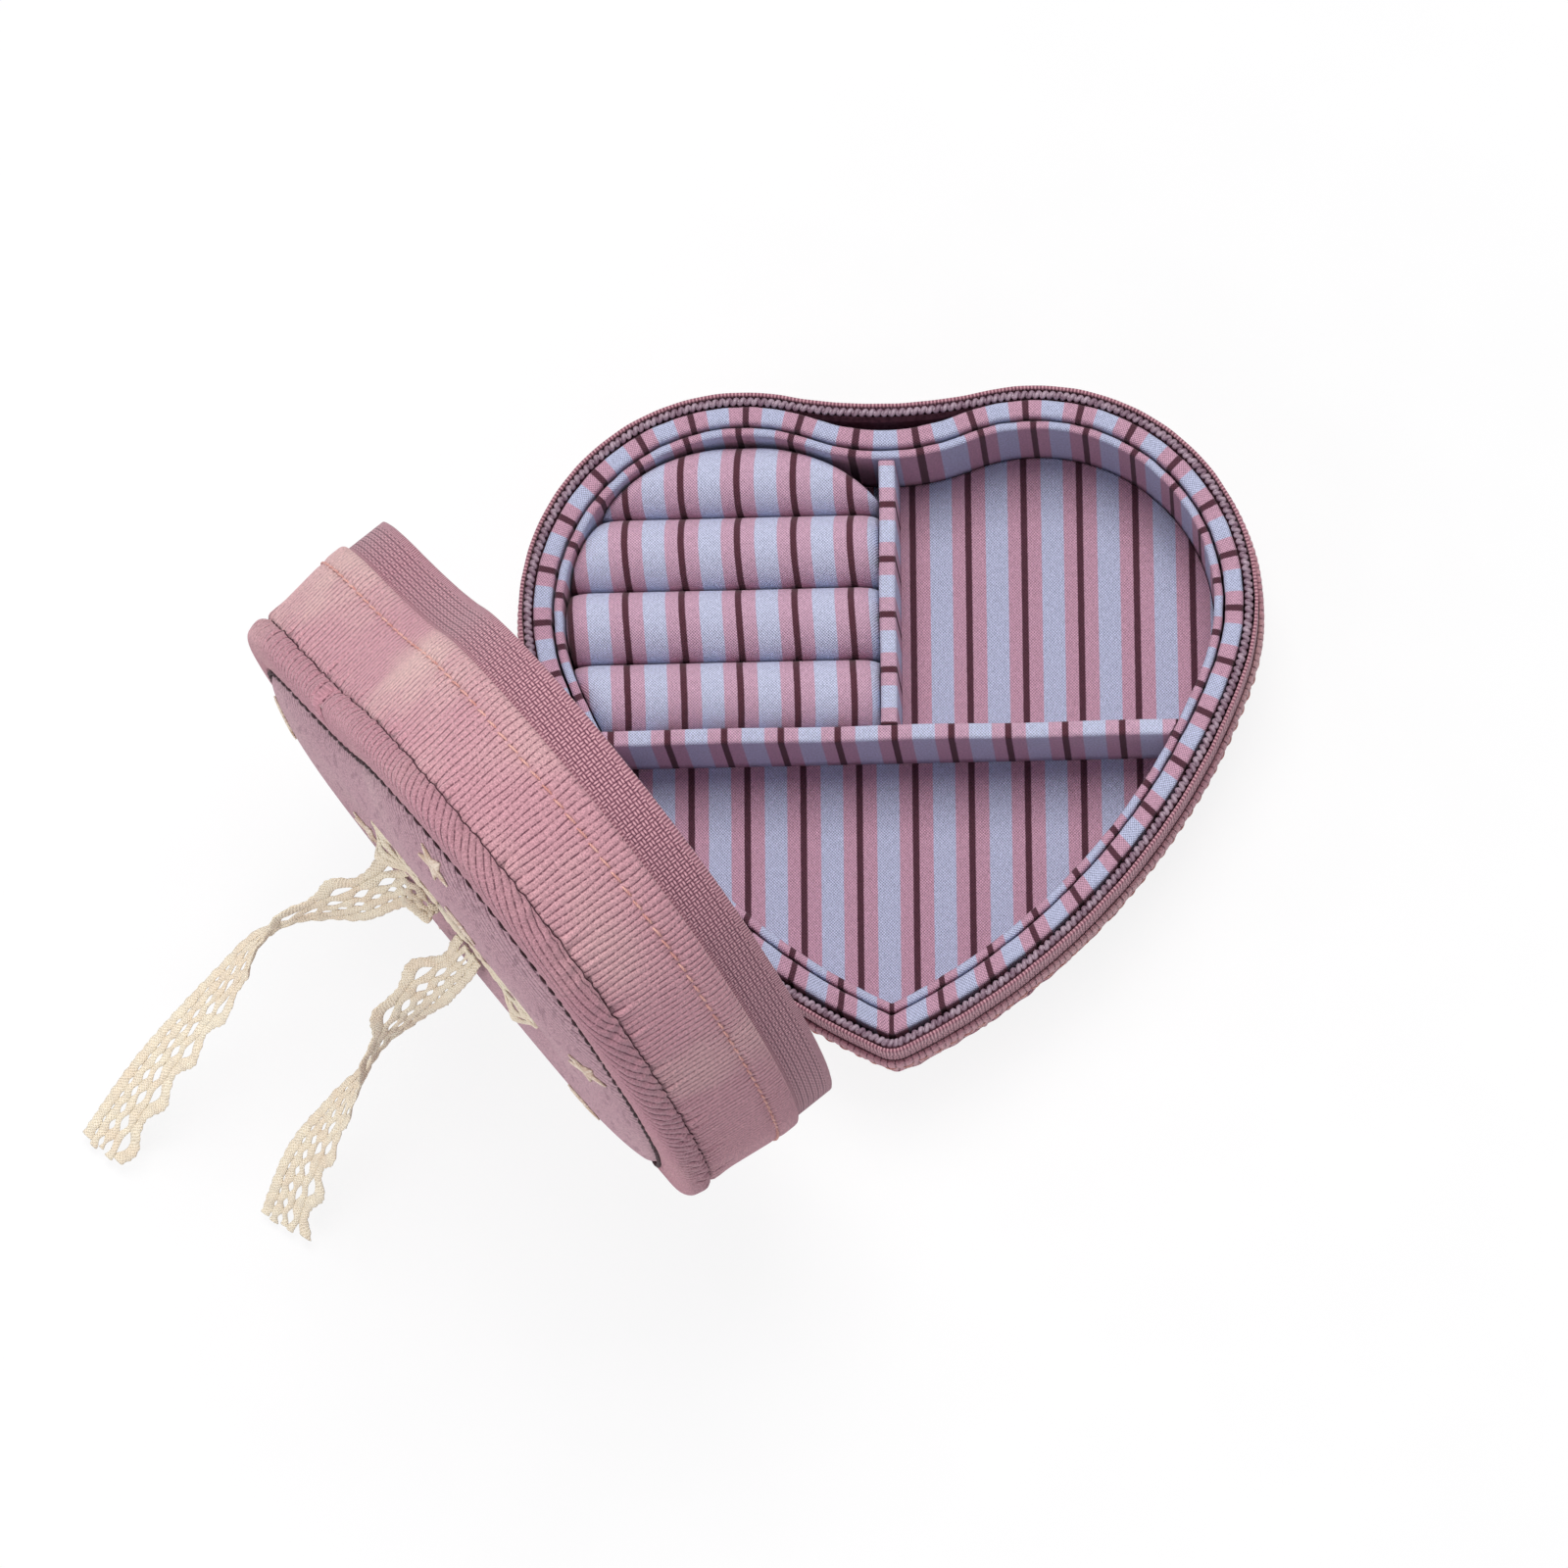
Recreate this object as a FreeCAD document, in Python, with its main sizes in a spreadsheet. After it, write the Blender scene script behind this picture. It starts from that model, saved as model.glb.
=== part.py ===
"""Heart-shaped zip-around jewellery case with a ring tray, standing open.

Millimetres and degrees, +Z up. The case stands on Z = 0, the heart's notch towards +Y, its point towards -Y.
The lid is drawn closed, above the zip plane, and then turned open about the fabric hinge on the left flank.
A heart is six tangent arcs. An inset is measured inwards from the outer face of the zip tape.
"""
import FreeCAD, Part
import collections
import math
import os

import Sketcher

Vector = FreeCAD.Vector
UP = Vector(0, 0, 1)
START, END, CENTRE = 1, 2, 3

# Driving dimensions: alias, value, meaning.
SIZES = (
    ("lobe_centre_x", 30.0, "heart: lobe centre from the middle line"),
    ("lobe_centre_y", 25.4, "heart: lobe centre above the reference point"),
    ("lobe_radius", 45.9, "heart: lobe radius at the zip tape"),
    ("flank_radius", 138.0, "heart: flank radius at the zip tape"),
    ("notch_radius", 100.0, "heart: hollow radius of the notch"),
    ("tip_radius", 6.0, "heart: point radius at the zip tape"),
    ("tip_depth", 61.5, "heart: centre of the point below the reference point"),
    ("least_tip_radius", 1.0, "heart: point radius where an inset has used up the point"),
    ("tip_rise", 1.13, "heart: rise of a sharp point for each millimetre of inset"),
    ("tray_gap", 0.25, "tray: gap between the collar and the wall board"),
    ("tray_notch_radius", 40.0, "tray: hollow radius of the notch"),
    ("tray_tip_radius", 1.5, "tray: point radius of the collar"),
    ("tray_tip_drop", 0.9, "tray: centre of its point below the shell's"),
    ("zip_height", 34.0, "height of the zip plane"),
    ("zip_gap", 0.1, "half the gap between the two coils when shut"),
    ("ply_gap", 0.15, "gap between plies sewn or glued together"),
    ("soft_gap", 0.3, "gap round a foam piece"),
    ("corduroy_thickness", 1.45, "corduroy with its backing"),
    ("wall_bulge", 0.5, "how far the base wall swells at mid height"),
    ("tape_thickness", 0.7, "zip tape thickness"),
    ("tape_width", 13.0, "zip tape: zip plane to hidden edge"),
    ("tape_band", 9.45, "zip tape: zip plane to corduroy edge"),
    ("coil_width", 1.4, "zip coil across the tape"),
    ("coil_height", 1.4, "zip coil along the tape"),
    ("coil_outset", 0.35, "zip coil outside the tape"),
    ("strip_thickness", 0.55, "hinge strip thickness"),
    ("strip_width", 8.0, "hinge strip on each side of the fold"),
    ("hinge_half_length", 20.0, "half the length of the fabric hinge"),
    ("hinge_angle", 51.7, "direction of the hinge, turned clockwise from +X"),
    ("lid_open", 89.0, "opening angle of the lid"),
    ("board_thickness", 1.2, "wall board thickness"),
    ("board_setback", 5.2, "wall board edge to zip plane"),
    ("bottom_depth", 6.2, "padded bottom: height of its seam"),
    ("bottom_flat", 6.0, "padded bottom: inset of the flat it stands on"),
    ("floor_board_thickness", 2.0, "floor board thickness"),
    ("collar_thickness", 3.7, "tray collar, board and cloth"),
    ("collar_setback", 0.2, "tray collar top below the zip plane"),
    ("inner_wall_gap", 0.5, "gap between collar and inner wall"),
    ("inner_wall_thickness", 1.8, "tray inner wall, board and cloth"),
    ("inner_wall_setback", 1.2, "tray inner wall top below the zip plane"),
    ("inner_wall_round", 0.8, "rounding of the inner wall's top edges"),
    ("tray_floor_thickness", 1.2, "tray floor, card and cloth"),
    ("divider_thickness", 3.4, "divider, board and cloth"),
    ("divider_setback", 1.6, "divider tops below the zip plane"),
    ("divider_round", 0.9, "rounding of wrapped top edges"),
    ("cross_divider_y", 0.7, "north face of the cross divider"),
    ("roll_count", 4, "ring rolls between the cross divider and the lobe"),
    ("roll_setback", 2.5, "ring roll crown below the zip plane"),
    ("roll_crown", 6.0, "ring roll: rise of its round crown"),
    ("seam_height", 30.2, "lid: zip plane to the seam of wall and panel"),
    ("edge_rise", 8.0, "lid: seam to the crown of the rolled edge"),
    ("lining_thickness", 0.6, "lid lining cloth"),
    ("lining_edge", 1.8, "lid lining edge above the zip plane"),
    ("top_board_thickness", 2.0, "lid top board"),
    ("foam_thickness", 2.1, "lid foam"),
    ("quilt_inset", 9.2, "inset of the quilting line"),
    ("quilt_gap", 0.8, "width of the quilting groove"),
    ("quilt_thread", 0.5, "quilting thread"),
    ("field_rise", 7.5, "lid: seam to the field inside the quilting line"),
    ("stitch_setback", 5.15, "corduroy edge to the topstitch"),
    ("stitch_thread", 0.4, "topstitch thread"),
    ("star_radius", 5.0, "embroidered star: radius of its points"),
    ("star_waist", 2.3, "embroidered star: radius between its points"),
    ("star_thickness", 0.4, "embroidered star: height of its thread"),
    ("star_inset", 17.2, "embroidered stars: inset of their middles round the lobes"),
    ("star_tip_rise", 25.5, "embroidered star: middle of the lowest above the heart's point"),
    ("bow_y", 12.0, "bow: place above the heart's reference point"),
    ("knot_length", 10.0, "bow knot along the loops"),
    ("knot_width", 9.0, "bow knot across the loops"),
    ("knot_height", 5.0, "bow knot height"),
    ("knot_round", 1.6, "bow knot rounding"),
    ("lace_width", 12.5, "lace width"),
    ("lace_neck", 7.0, "lace width gathered at the knot"),
    ("lace_thickness", 0.9, "lace thickness"),
    ("stop_gap", 1.2, "zip end stops: gap beside the hinge strip"),
    ("stop_length", 2.6, "zip end stops: length"),
    ("stop_reach", 4.0, "zip end stops: reach down the tape"),
    ("stop_wall", 0.8, "zip end stops: wall"),
    ("slider_gap", 0.7, "zip slider: gap beside the end stop at rest"),
    ("slider_length", 10.0, "zip slider: length"),
    ("slider_base_reach", 4.2, "zip slider: reach down the base's tape"),
    ("slider_lid_reach", 2.3, "zip slider: reach up the lid's tape, inside the lid's swing"),
    ("slider_plate", 1.0, "zip slider: plate thickness"),
    ("slider_clearance", 0.5, "zip slider: room each side of the coil"),
    ("slider_travel", 6.0, "zip slider: travel"),
    ("post_length", 2.0, "zip slider: post length"),
    ("lug_length", 6.0, "zip slider: lug length"),
    ("lug_height", 3.2, "zip slider: lug across the tapes"),
    ("tab_wall_gap", 0.4, "pull tab: gap between the tab and the base's topstitch"),
    ("pin_radius", 0.7, "pull tab: pin radius"),
    ("pin_clearance", 0.05, "pull tab: radial clearance of the pin"),
    ("tab_side_gap", 0.2, "pull tab: gap beside the lug"),
    ("tab_ear", 1.2, "pull tab: ear width"),
    ("tab_thickness", 1.4, "pull tab: thickness"),
    ("tab_length", 24.0, "pull tab: pin to end"),
    ("tab_window", 5.0, "pull tab: pin to the solid part"),
    ("tab_hole_radius", 1.8, "pull tab: hole near its end"),
    ("tab_hole_inset", 4.5, "pull tab: middle of the hole from its end"),
)

# Plies from the outside inwards, as insets.
CORD_OUT = "-(Sizes.ply_gap + Sizes.corduroy_thickness)"
CORD_IN = "-Sizes.ply_gap"
TAPE_OUT = "0"
TAPE_IN = "Sizes.tape_thickness"
STRIP_OUT = f"{TAPE_IN} + Sizes.ply_gap"
STRIP_IN = f"{STRIP_OUT} + Sizes.strip_thickness"
BOARD_OUT = f"{STRIP_IN} + Sizes.ply_gap"
BOARD_IN = f"{BOARD_OUT} + Sizes.board_thickness"
LINING_OUT = f"{BOARD_IN} + Sizes.ply_gap"
LINING_IN = f"{LINING_OUT} + Sizes.lining_thickness"
COIL_OUT = "-Sizes.coil_outset"
COIL_IN = "Sizes.coil_width - Sizes.coil_outset"
STITCH_IN = f"{CORD_OUT} - Sizes.ply_gap"
STITCH_OUT = f"{STITCH_IN} - Sizes.stitch_thread"
STITCH_HEIGHT = "(Sizes.tape_band + Sizes.stitch_setback)"
TRAY_INSET = f"({BOARD_IN} + Sizes.tray_gap)"

# Tray walls, as insets from the collar's outer face.
COLLAR_IN = "Sizes.collar_thickness"
INNER_OUT = f"{COLLAR_IN} + Sizes.inner_wall_gap"
INNER_IN = f"{INNER_OUT} + Sizes.inner_wall_thickness"
TRAY_HOLLOW = f"{INNER_IN} + Sizes.ply_gap"
ROLL_SPACE = f"{INNER_IN} + Sizes.soft_gap"
ROLLS_LENGTH = (
    f"(Sizes.lobe_centre_y + Sizes.lobe_radius - {TRAY_INSET} - ({ROLL_SPACE}) - Sizes.cross_divider_y)"
)
ROLL_PITCH = f"({ROLLS_LENGTH} / Sizes.roll_count)"

# Heights in the base.
FLOOR_BOARD_Z = "Sizes.bottom_depth + Sizes.ply_gap"
TRAY_Z = f"{FLOOR_BOARD_Z} + Sizes.floor_board_thickness + Sizes.ply_gap"
TRAY_TOP_Z = f"{TRAY_Z} + Sizes.tray_floor_thickness"
DIVIDER_Z = f"{TRAY_TOP_Z} + Sizes.ply_gap"

# Heights in the lid.
TOP_BOARD_Z = "Sizes.zip_height + Sizes.seam_height + 4 * Sizes.ply_gap"
LINING_PANEL_Z = f"{TOP_BOARD_Z} - Sizes.ply_gap - Sizes.lining_thickness"
FOAM_Z = f"{TOP_BOARD_Z} + Sizes.top_board_thickness + Sizes.ply_gap"
COVER_Z = f"{FOAM_Z} + Sizes.foam_thickness + Sizes.ply_gap"
EDGE_Z = "Sizes.zip_height + Sizes.seam_height + Sizes.ply_gap"
EDGE_TOP_Z = "Sizes.zip_height + Sizes.seam_height + Sizes.edge_rise"
FIELD_Z = "Sizes.zip_height + Sizes.seam_height + Sizes.field_rise"

# Zip slider: distances out of the case from the tape's outer face.
PLATE_IN = "Sizes.coil_outset + Sizes.slider_clearance"
PLATE_OUT = f"{PLATE_IN} + Sizes.slider_plate"
BACK_OUT = "-(Sizes.coil_width - Sizes.coil_outset + Sizes.slider_clearance)"
PIN_Y = f"Sizes.wall_bulge - ({STITCH_OUT}) + Sizes.tab_wall_gap + Sizes.tab_thickness / 2"

# Places along the zip, as distances from the middle of the hinge.
STOP_PLACE = "Sizes.hinge_half_length + Sizes.stop_gap + Sizes.stop_length / 2"
STOP_END = f"({STOP_PLACE} + Sizes.stop_length / 2)"
SLIDER_PLACE = f"{STOP_END} + Sizes.slider_gap + Sizes.slider_length / 2"

# Rolled edge of the lid: inset and share of its height, from the seam to the crown.
ROLL_PROFILE = ((-1.3, 0.0), (-1.9, 0.28), (-1.3, 0.6), (1.2, 0.88), (5.2, 1.0))
# Field of the lid panel: inset beyond its edge and share of its height.
FIELD_PROFILE = ((0.0, 0.0), (0.0, 0.45), (1.0, 0.85), (2.6, 1.0))
# Base wall: share of its height and share of its bulge, from the bottom seam to the zip tape.
WALL_PROFILE = ((0.0, 0.0), (0.35, 1.0), (0.6, 1.0), (1.0, 0.0))
# Padded bottom: share of the flat's inset and share of its height, from the flat to the seam.
BOTTOM_PROFILE = ((1.0, 0.0), (0.38, 0.14), (-0.02, 0.45), (-0.2, 0.8), (-0.22, 1.0))

# Embroidered stars, besides one at each lobe's centre: directions in degrees from a lobe's and a flank's centre.
STAR_LOBE_DIRECTION = 50.0
STAR_FLANK_DIRECTION = -33.0
STAR_POINTS = 5

# One bow loop: distance from the knot's middle and height above the panel, from the knot and back to it.
LOOP_ROUTE = (
    (5.4, 1.6), (13.0, 1.0), (21.0, 1.7), (26.0, 5.0), (24.5, 9.3), (18.0, 10.2), (10.5, 7.2), (5.4, 4.0)
)
# Bow tails: distance along the hinge, out from the panel and down from the knot, with the twist in degrees.
TAIL_LEFT = (
    (-4.6, 0.4, 5.3, 0), (-7.0, 3.4, 11.5, 0), (-16.5, 10.0, 19.0, 10), (-26.5, 18.6, 27.5, 35),
    (-32.9, 30.1, 43.8, 70), (-34.2, 39.3, 65.8, 30), (-35.6, 60.9, 91.8, 0), (-31.9, 80.6, 98.0, 0),
)
TAIL_RIGHT = (
    (4.6, 0.4, 5.3, 0), (5.6, 5.5, 12.5, 0), (1.5, 19.2, 25.0, 20), (-0.3, 28.6, 47.8, 65),
    (-2.2, 40.0, 72.8, 25), (-0.7, 52.1, 92.4, 0), (3.8, 63.0, 98.0, 0),
)

Outline = collections.namedtuple("Outline", "lobe flank notch tip depth")
SHELL = Outline(
    "Sizes.lobe_radius", "Sizes.flank_radius", "Sizes.notch_radius", "Sizes.tip_radius", "Sizes.tip_depth"
)
TRAY = Outline(
    f"Sizes.lobe_radius - {TRAY_INSET}",
    f"Sizes.flank_radius - {TRAY_INSET}",
    "Sizes.tray_notch_radius",
    "Sizes.tray_tip_radius",
    "Sizes.tip_depth + Sizes.tray_tip_drop",
)

doc = FreeCAD.newDocument("jewellery_case")


def make_sheet():
    """Write the driving dimensions to the sheet, one named cell each."""
    book = doc.addObject("Spreadsheet::Sheet", "Sizes")
    for row, (alias, size, meaning) in enumerate(SIZES, start=1):
        book.set(f"A{row}", meaning)
        book.set(f"B{row}", str(size))
        book.setAlias(f"B{row}", alias)
    doc.recompute()
    return book


sheet = make_sheet()
nodes = {}


def value(expression):
    """Return an expression of sheet cells as a plain number."""
    return float(sheet.evalExpression(str(expression)))


def keep(name, item, placement=None):
    """Label a finished sub-part, place it and list it for writing."""
    item.Label = name
    if placement is not None:
        item.Placement = placement
    nodes[name] = item
    return item


def new_sketch(body, z, role="XY_Plane"):
    """Return an empty sketch on one of the body's own origin planes, raised by z."""
    sketch = body.newObject("Sketcher::SketchObject", body.Name + "_sketch")
    plane = next(item for item in body.Origin.OriginFeatures if item.Role == role)
    sketch.AttachmentSupport = [(plane, "")]
    sketch.MapMode = "FlatFace"
    sketch.setExpression("AttachmentOffset.Base.z", z)
    return sketch


def heart_expressions(outline, inset):
    """Return the expressions of the four radii and the point's depth at an inset of an outline."""
    spent = f"max(({inset}) - ({outline.tip} - Sizes.least_tip_radius); 0)"
    return Outline(
        f"{outline.lobe} - ({inset})",
        f"{outline.flank} - ({inset})",
        f"{outline.notch} + ({inset})",
        f"max({outline.tip} - ({inset}); Sizes.least_tip_radius)",
        f"{outline.depth} - Sizes.tip_rise * {spent}",
    )


def heart_centres(heart):
    """Return the centres of the right lobe, right flank, notch and point from the heart's numbers."""
    lobe = Vector(value("Sizes.lobe_centre_x"), value("Sizes.lobe_centre_y"))
    tip = Vector(0, -heart.depth)
    reach_lobe = heart.flank - heart.lobe
    reach_tip = heart.flank - heart.tip
    line = tip - lobe
    span = line.Length
    along = (reach_lobe ** 2 - reach_tip ** 2 + span ** 2) / (2 * span)
    aside = math.sqrt(reach_lobe ** 2 - along ** 2)
    line.normalize()
    flank = lobe + line * along + Vector(line.y, -line.x) * aside
    notch = Vector(0, lobe.y + math.sqrt((heart.lobe + heart.notch) ** 2 - lobe.x ** 2))
    return lobe, flank, notch, tip


def add_heart(sketch, outline, inset):
    """Add one closed heart to a sketch: point, flanks, lobes and notch, with bound radii and places."""
    names = heart_expressions(outline, inset)
    heart = Outline(*(value(name) for name in names))
    lobe, flank, notch, tip = heart_centres(heart)
    lobe_left = Vector(-lobe.x, lobe.y)
    flank_left = Vector(-flank.x, flank.y)

    def heading(origin, target):
        return math.atan2(target.y - origin.y, target.x - origin.x)

    flank_low = heading(flank, tip)
    flank_high = heading(flank, lobe)
    lobe_high = heading(lobe, notch)
    circles = (
        (tip, heart.tip, -math.pi - flank_low, flank_low),
        (flank, heart.flank, flank_low, flank_high),
        (lobe, heart.lobe, flank_high, lobe_high),
        (notch, heart.notch, -lobe_high, lobe_high - math.pi),
        (lobe_left, heart.lobe, math.pi - lobe_high, math.pi - flank_high),
        (flank_left, heart.flank, math.pi - flank_high, math.pi - flank_low),
    )
    arcs = [
        Part.ArcOfCircle(Part.Circle(centre, UP, radius), low, high) for centre, radius, low, high in circles
    ]
    point, right, lobe_right, hollow, lobe_mirror, left = sketch.addGeometry(arcs, False)
    joins = (
        (point, END, right, START),
        (right, END, lobe_right, START),
        (lobe_right, END, hollow, END),
        (hollow, START, lobe_mirror, START),
        (lobe_mirror, END, left, START),
        (left, END, point, START),
    )
    for join in joins:
        sketch.addConstraint(Sketcher.Constraint("Tangent", *join))
    sketch.addConstraint(Sketcher.Constraint("Equal", lobe_right, lobe_mirror))
    sketch.addConstraint(Sketcher.Constraint("Equal", right, left))
    sketch.addConstraint(Sketcher.Constraint("Symmetric", lobe_mirror, CENTRE, lobe_right, CENTRE, -2))
    sketch.addConstraint(Sketcher.Constraint("PointOnObject", point, CENTRE, -2))
    bound = (
        (("DistanceX", -1, 1, lobe_right, CENTRE, lobe.x), "Sizes.lobe_centre_x"),
        (("DistanceY", -1, 1, lobe_right, CENTRE, lobe.y), "Sizes.lobe_centre_y"),
        (("DistanceY", point, CENTRE, -1, 1, heart.depth), names.depth),
        (("Radius", lobe_right, heart.lobe), names.lobe),
        (("Radius", right, heart.flank), names.flank),
        (("Radius", hollow, heart.notch), names.notch),
        (("Radius", point, heart.tip), names.tip),
    )
    for terms, expression in bound:
        index = sketch.addConstraint(Sketcher.Constraint(*terms))
        sketch.setExpression(f"Constraints[{index}]", expression)


def add_rectangle(sketch, low_x, high_x, low_y, high_y):
    """Add a rectangle to a sketch, its four sides bound to expressions."""
    x0, x1, y0, y1 = (value(side) for side in (low_x, high_x, low_y, high_y))
    corners = [Vector(x0, y0), Vector(x1, y0), Vector(x1, y1), Vector(x0, y1)]
    lines = [Part.LineSegment(corners[i], corners[(i + 1) % 4]) for i in range(4)]
    ids = sketch.addGeometry(lines, False)
    for i in range(4):
        sketch.addConstraint(Sketcher.Constraint("Coincident", ids[i], END, ids[(i + 1) % 4], START))
    for i, kind in enumerate(("Horizontal", "Vertical", "Horizontal", "Vertical")):
        sketch.addConstraint(Sketcher.Constraint(kind, ids[i]))
    places = (("DistanceX", START, low_x), ("DistanceY", START, low_y), ("DistanceX", END, high_x))
    for kind, end, side in places:
        index = sketch.addConstraint(Sketcher.Constraint(kind, -1, 1, ids[0], end, value(side)))
        sketch.setExpression(f"Constraints[{index}]", side)
    index = sketch.addConstraint(Sketcher.Constraint("DistanceY", -1, 1, ids[2], START, value(high_y)))
    sketch.setExpression(f"Constraints[{index}]", high_y)


def pad(body, sketch, length):
    """Pad a sketch upwards by a bound length."""
    feature = body.newObject("PartDesign::Pad", body.Name + "_pad")
    feature.Profile = sketch
    feature.setExpression("Length", length)
    return feature


def pocket_up(body, sketch, length):
    """Cut a sketch upwards by a bound length, and stop if nothing was cut."""
    doc.recompute()
    before = body.Shape.Volume
    feature = body.newObject("PartDesign::Pocket", body.Name + "_pocket")
    feature.Profile = sketch
    feature.Reversed = True
    feature.setExpression("Length", length)
    doc.recompute()
    if body.Shape.Volume >= before:
        raise RuntimeError(f"{body.Name}: the pocket cuts nothing")
    return feature


def new_body(name):
    """Return an empty body."""
    return doc.addObject("PartDesign::Body", name)


def heart_ring(name, outline, outer, inner, z, height):
    """Return a body: a heart-shaped band between two insets."""
    body = new_body(name)
    sketch = new_sketch(body, z)
    add_heart(sketch, outline, outer)
    add_heart(sketch, outline, inner)
    pad(body, sketch, height)
    return body


def heart_plate(name, outline, inset, z, height):
    """Return a body: a heart-shaped plate."""
    body = new_body(name)
    sketch = new_sketch(body, z)
    add_heart(sketch, outline, inset)
    pad(body, sketch, height)
    return body


def heart_loft(name, sections):
    """Return a body: a loft through hearts of the shell, given as pairs of inset and height."""
    body = new_body(name)
    sketches = []
    for inset, z in sections:
        sketch = new_sketch(body, z)
        add_heart(sketch, SHELL, inset)
        sketches.append(sketch)
    loft = body.newObject("PartDesign::AdditiveLoft", name + "_loft")
    loft.Profile = sketches[0]
    loft.Sections = sketches[1:]
    loft.Ruled = True
    return body


def round_top(body, radius):
    """Round the edges of a body's top face by a bound radius."""
    doc.recompute()
    base = body.Tip
    top = base.Shape.BoundBox.ZMax
    edges = [
        f"Edge{i}"
        for i, edge in enumerate(base.Shape.Edges, start=1)
        if abs(edge.BoundBox.ZMin - top) < 1e-6
    ]
    feature = body.newObject("PartDesign::Fillet", body.Name + "_round")
    feature.Base = (base, edges)
    feature.setExpression("Radius", radius)
    return feature


def boolean(kind, name, base, tool):
    """Return a Part boolean of two objects."""
    item = doc.addObject("Part::" + kind, name)
    item.Base = base
    item.Tool = tool
    return item


def bound_block(name, low, high):
    """Return a Part::Box between two corners, each given as three expressions."""
    box = doc.addObject("Part::Box", name)
    for side, axis, near, far in zip(("Length", "Width", "Height"), "xyz", low, high):
        box.setExpression(side, f"({far}) - ({near})")
        box.setExpression(f"Placement.Base.{axis}", near)
    return box


# Hinge frame: the hinge line touches the zip tape's outer face at the middle of the left flank.
hinge_turn = math.radians(value("Sizes.hinge_angle"))
hinge_axis = Vector(math.cos(hinge_turn), -math.sin(hinge_turn), 0)
hinge_inward = Vector(math.sin(hinge_turn), math.cos(hinge_turn), 0)
shell_heart = Outline(*(value(name) for name in SHELL))
flank_right = heart_centres(shell_heart)[1]
flank_centre = Vector(-flank_right.x, flank_right.y, 0)
zip_height = value("Sizes.zip_height")
hinge_point = flank_centre - hinge_inward * shell_heart.flank + UP * zip_height
lid_turn = FreeCAD.Rotation(hinge_axis, value("Sizes.lid_open"))
lid_placement = FreeCAD.Placement(Vector(), lid_turn, hinge_point)
hinge_heading = math.degrees(math.atan2(-hinge_inward.y, -hinge_inward.x))


def flank_frame(distance):
    """Return a frame on the left flank, at a distance from the hinge's middle towards the lobe.

    X runs along the tape towards the lobe, Y points out of the case, and the origin is in the zip plane.
    """
    heading = math.radians(hinge_heading) - distance / shell_heart.flank
    out = Vector(math.cos(heading), math.sin(heading), 0)
    along = Vector(out.y, -out.x, 0)
    turn = FreeCAD.Rotation(along, out, UP, "ZXY")
    return FreeCAD.Placement(flank_centre + out * shell_heart.flank + UP * zip_height, turn)


def hinge_span(name, low, high):
    """Return a box across the left flank, between two distances from the hinge's middle."""
    half = f"(({high}) - ({low})) / 2"
    side = "Sizes.tape_width"
    low_corner = (f"-{half}", f"-{side}", "-Sizes.zip_height")
    box = bound_block(name, low_corner, (half, side, "3 * Sizes.zip_height"))
    span = doc.addObject("Part::Compound", name + "_placed")
    span.Links = [box]
    span.Placement = flank_frame(value(f"(({low}) + ({high})) / 2"))
    return span


def build_zip(side, place):
    """Build the tape, coil, hinge strip and end stops of the base or the lid."""
    above = side == "lid"
    tape_length = "Sizes.tape_width - Sizes.zip_gap - Sizes.coil_height - Sizes.ply_gap"
    coil_low = "Sizes.zip_height + Sizes.zip_gap"
    tape_low = f"{coil_low} + Sizes.coil_height + Sizes.ply_gap"
    strip_low = coil_low
    if not above:
        tape_low = "Sizes.zip_height - Sizes.tape_width"
        coil_low = "Sizes.zip_height - Sizes.zip_gap - Sizes.coil_height"
        strip_low = "Sizes.zip_height - Sizes.zip_gap - Sizes.strip_width"
    tape = heart_ring(f"{side}_zip_tape", SHELL, TAPE_OUT, TAPE_IN, tape_low, tape_length)
    keep(f"{side}_zip_tape", tape, place)

    coil = heart_ring(f"{side}_coil_ring", SHELL, COIL_OUT, COIL_IN, coil_low, "Sizes.coil_height")
    slider_reach = "Sizes.slider_length / 2 + Sizes.slider_travel + Sizes.slider_clearance"
    bare = hinge_span(f"{side}_bare_span", f"-{STOP_END}", f"{SLIDER_PLACE} + {slider_reach}")
    keep(f"{side}_zip_coil", boolean("Cut", f"{side}_zip_coil", coil, bare), place)

    strip = heart_ring(f"{side}_strip_ring", SHELL, STRIP_OUT, STRIP_IN, strip_low, "Sizes.strip_width")
    web = new_sketch(strip, coil_low)
    add_heart(web, SHELL, TAPE_OUT)
    add_heart(web, SHELL, STRIP_IN)
    pad(strip, web, "Sizes.coil_height")
    span = hinge_span(f"{side}_strip_span", "-Sizes.hinge_half_length", "Sizes.hinge_half_length")
    keep(f"{side}_hinge_strip", boolean("Common", f"{side}_hinge_strip", strip, span), place)

    stops = []
    for index, sign in enumerate((-1, 1)):
        frame = flank_frame(sign * value(STOP_PLACE))
        stops.append(end_stop(f"{side}_end_stop_{index}", frame, above))
    group = doc.addObject("Part::Compound", f"{side}_end_stops")
    group.Links = stops
    keep(f"{side}_end_stops", group, place)


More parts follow.
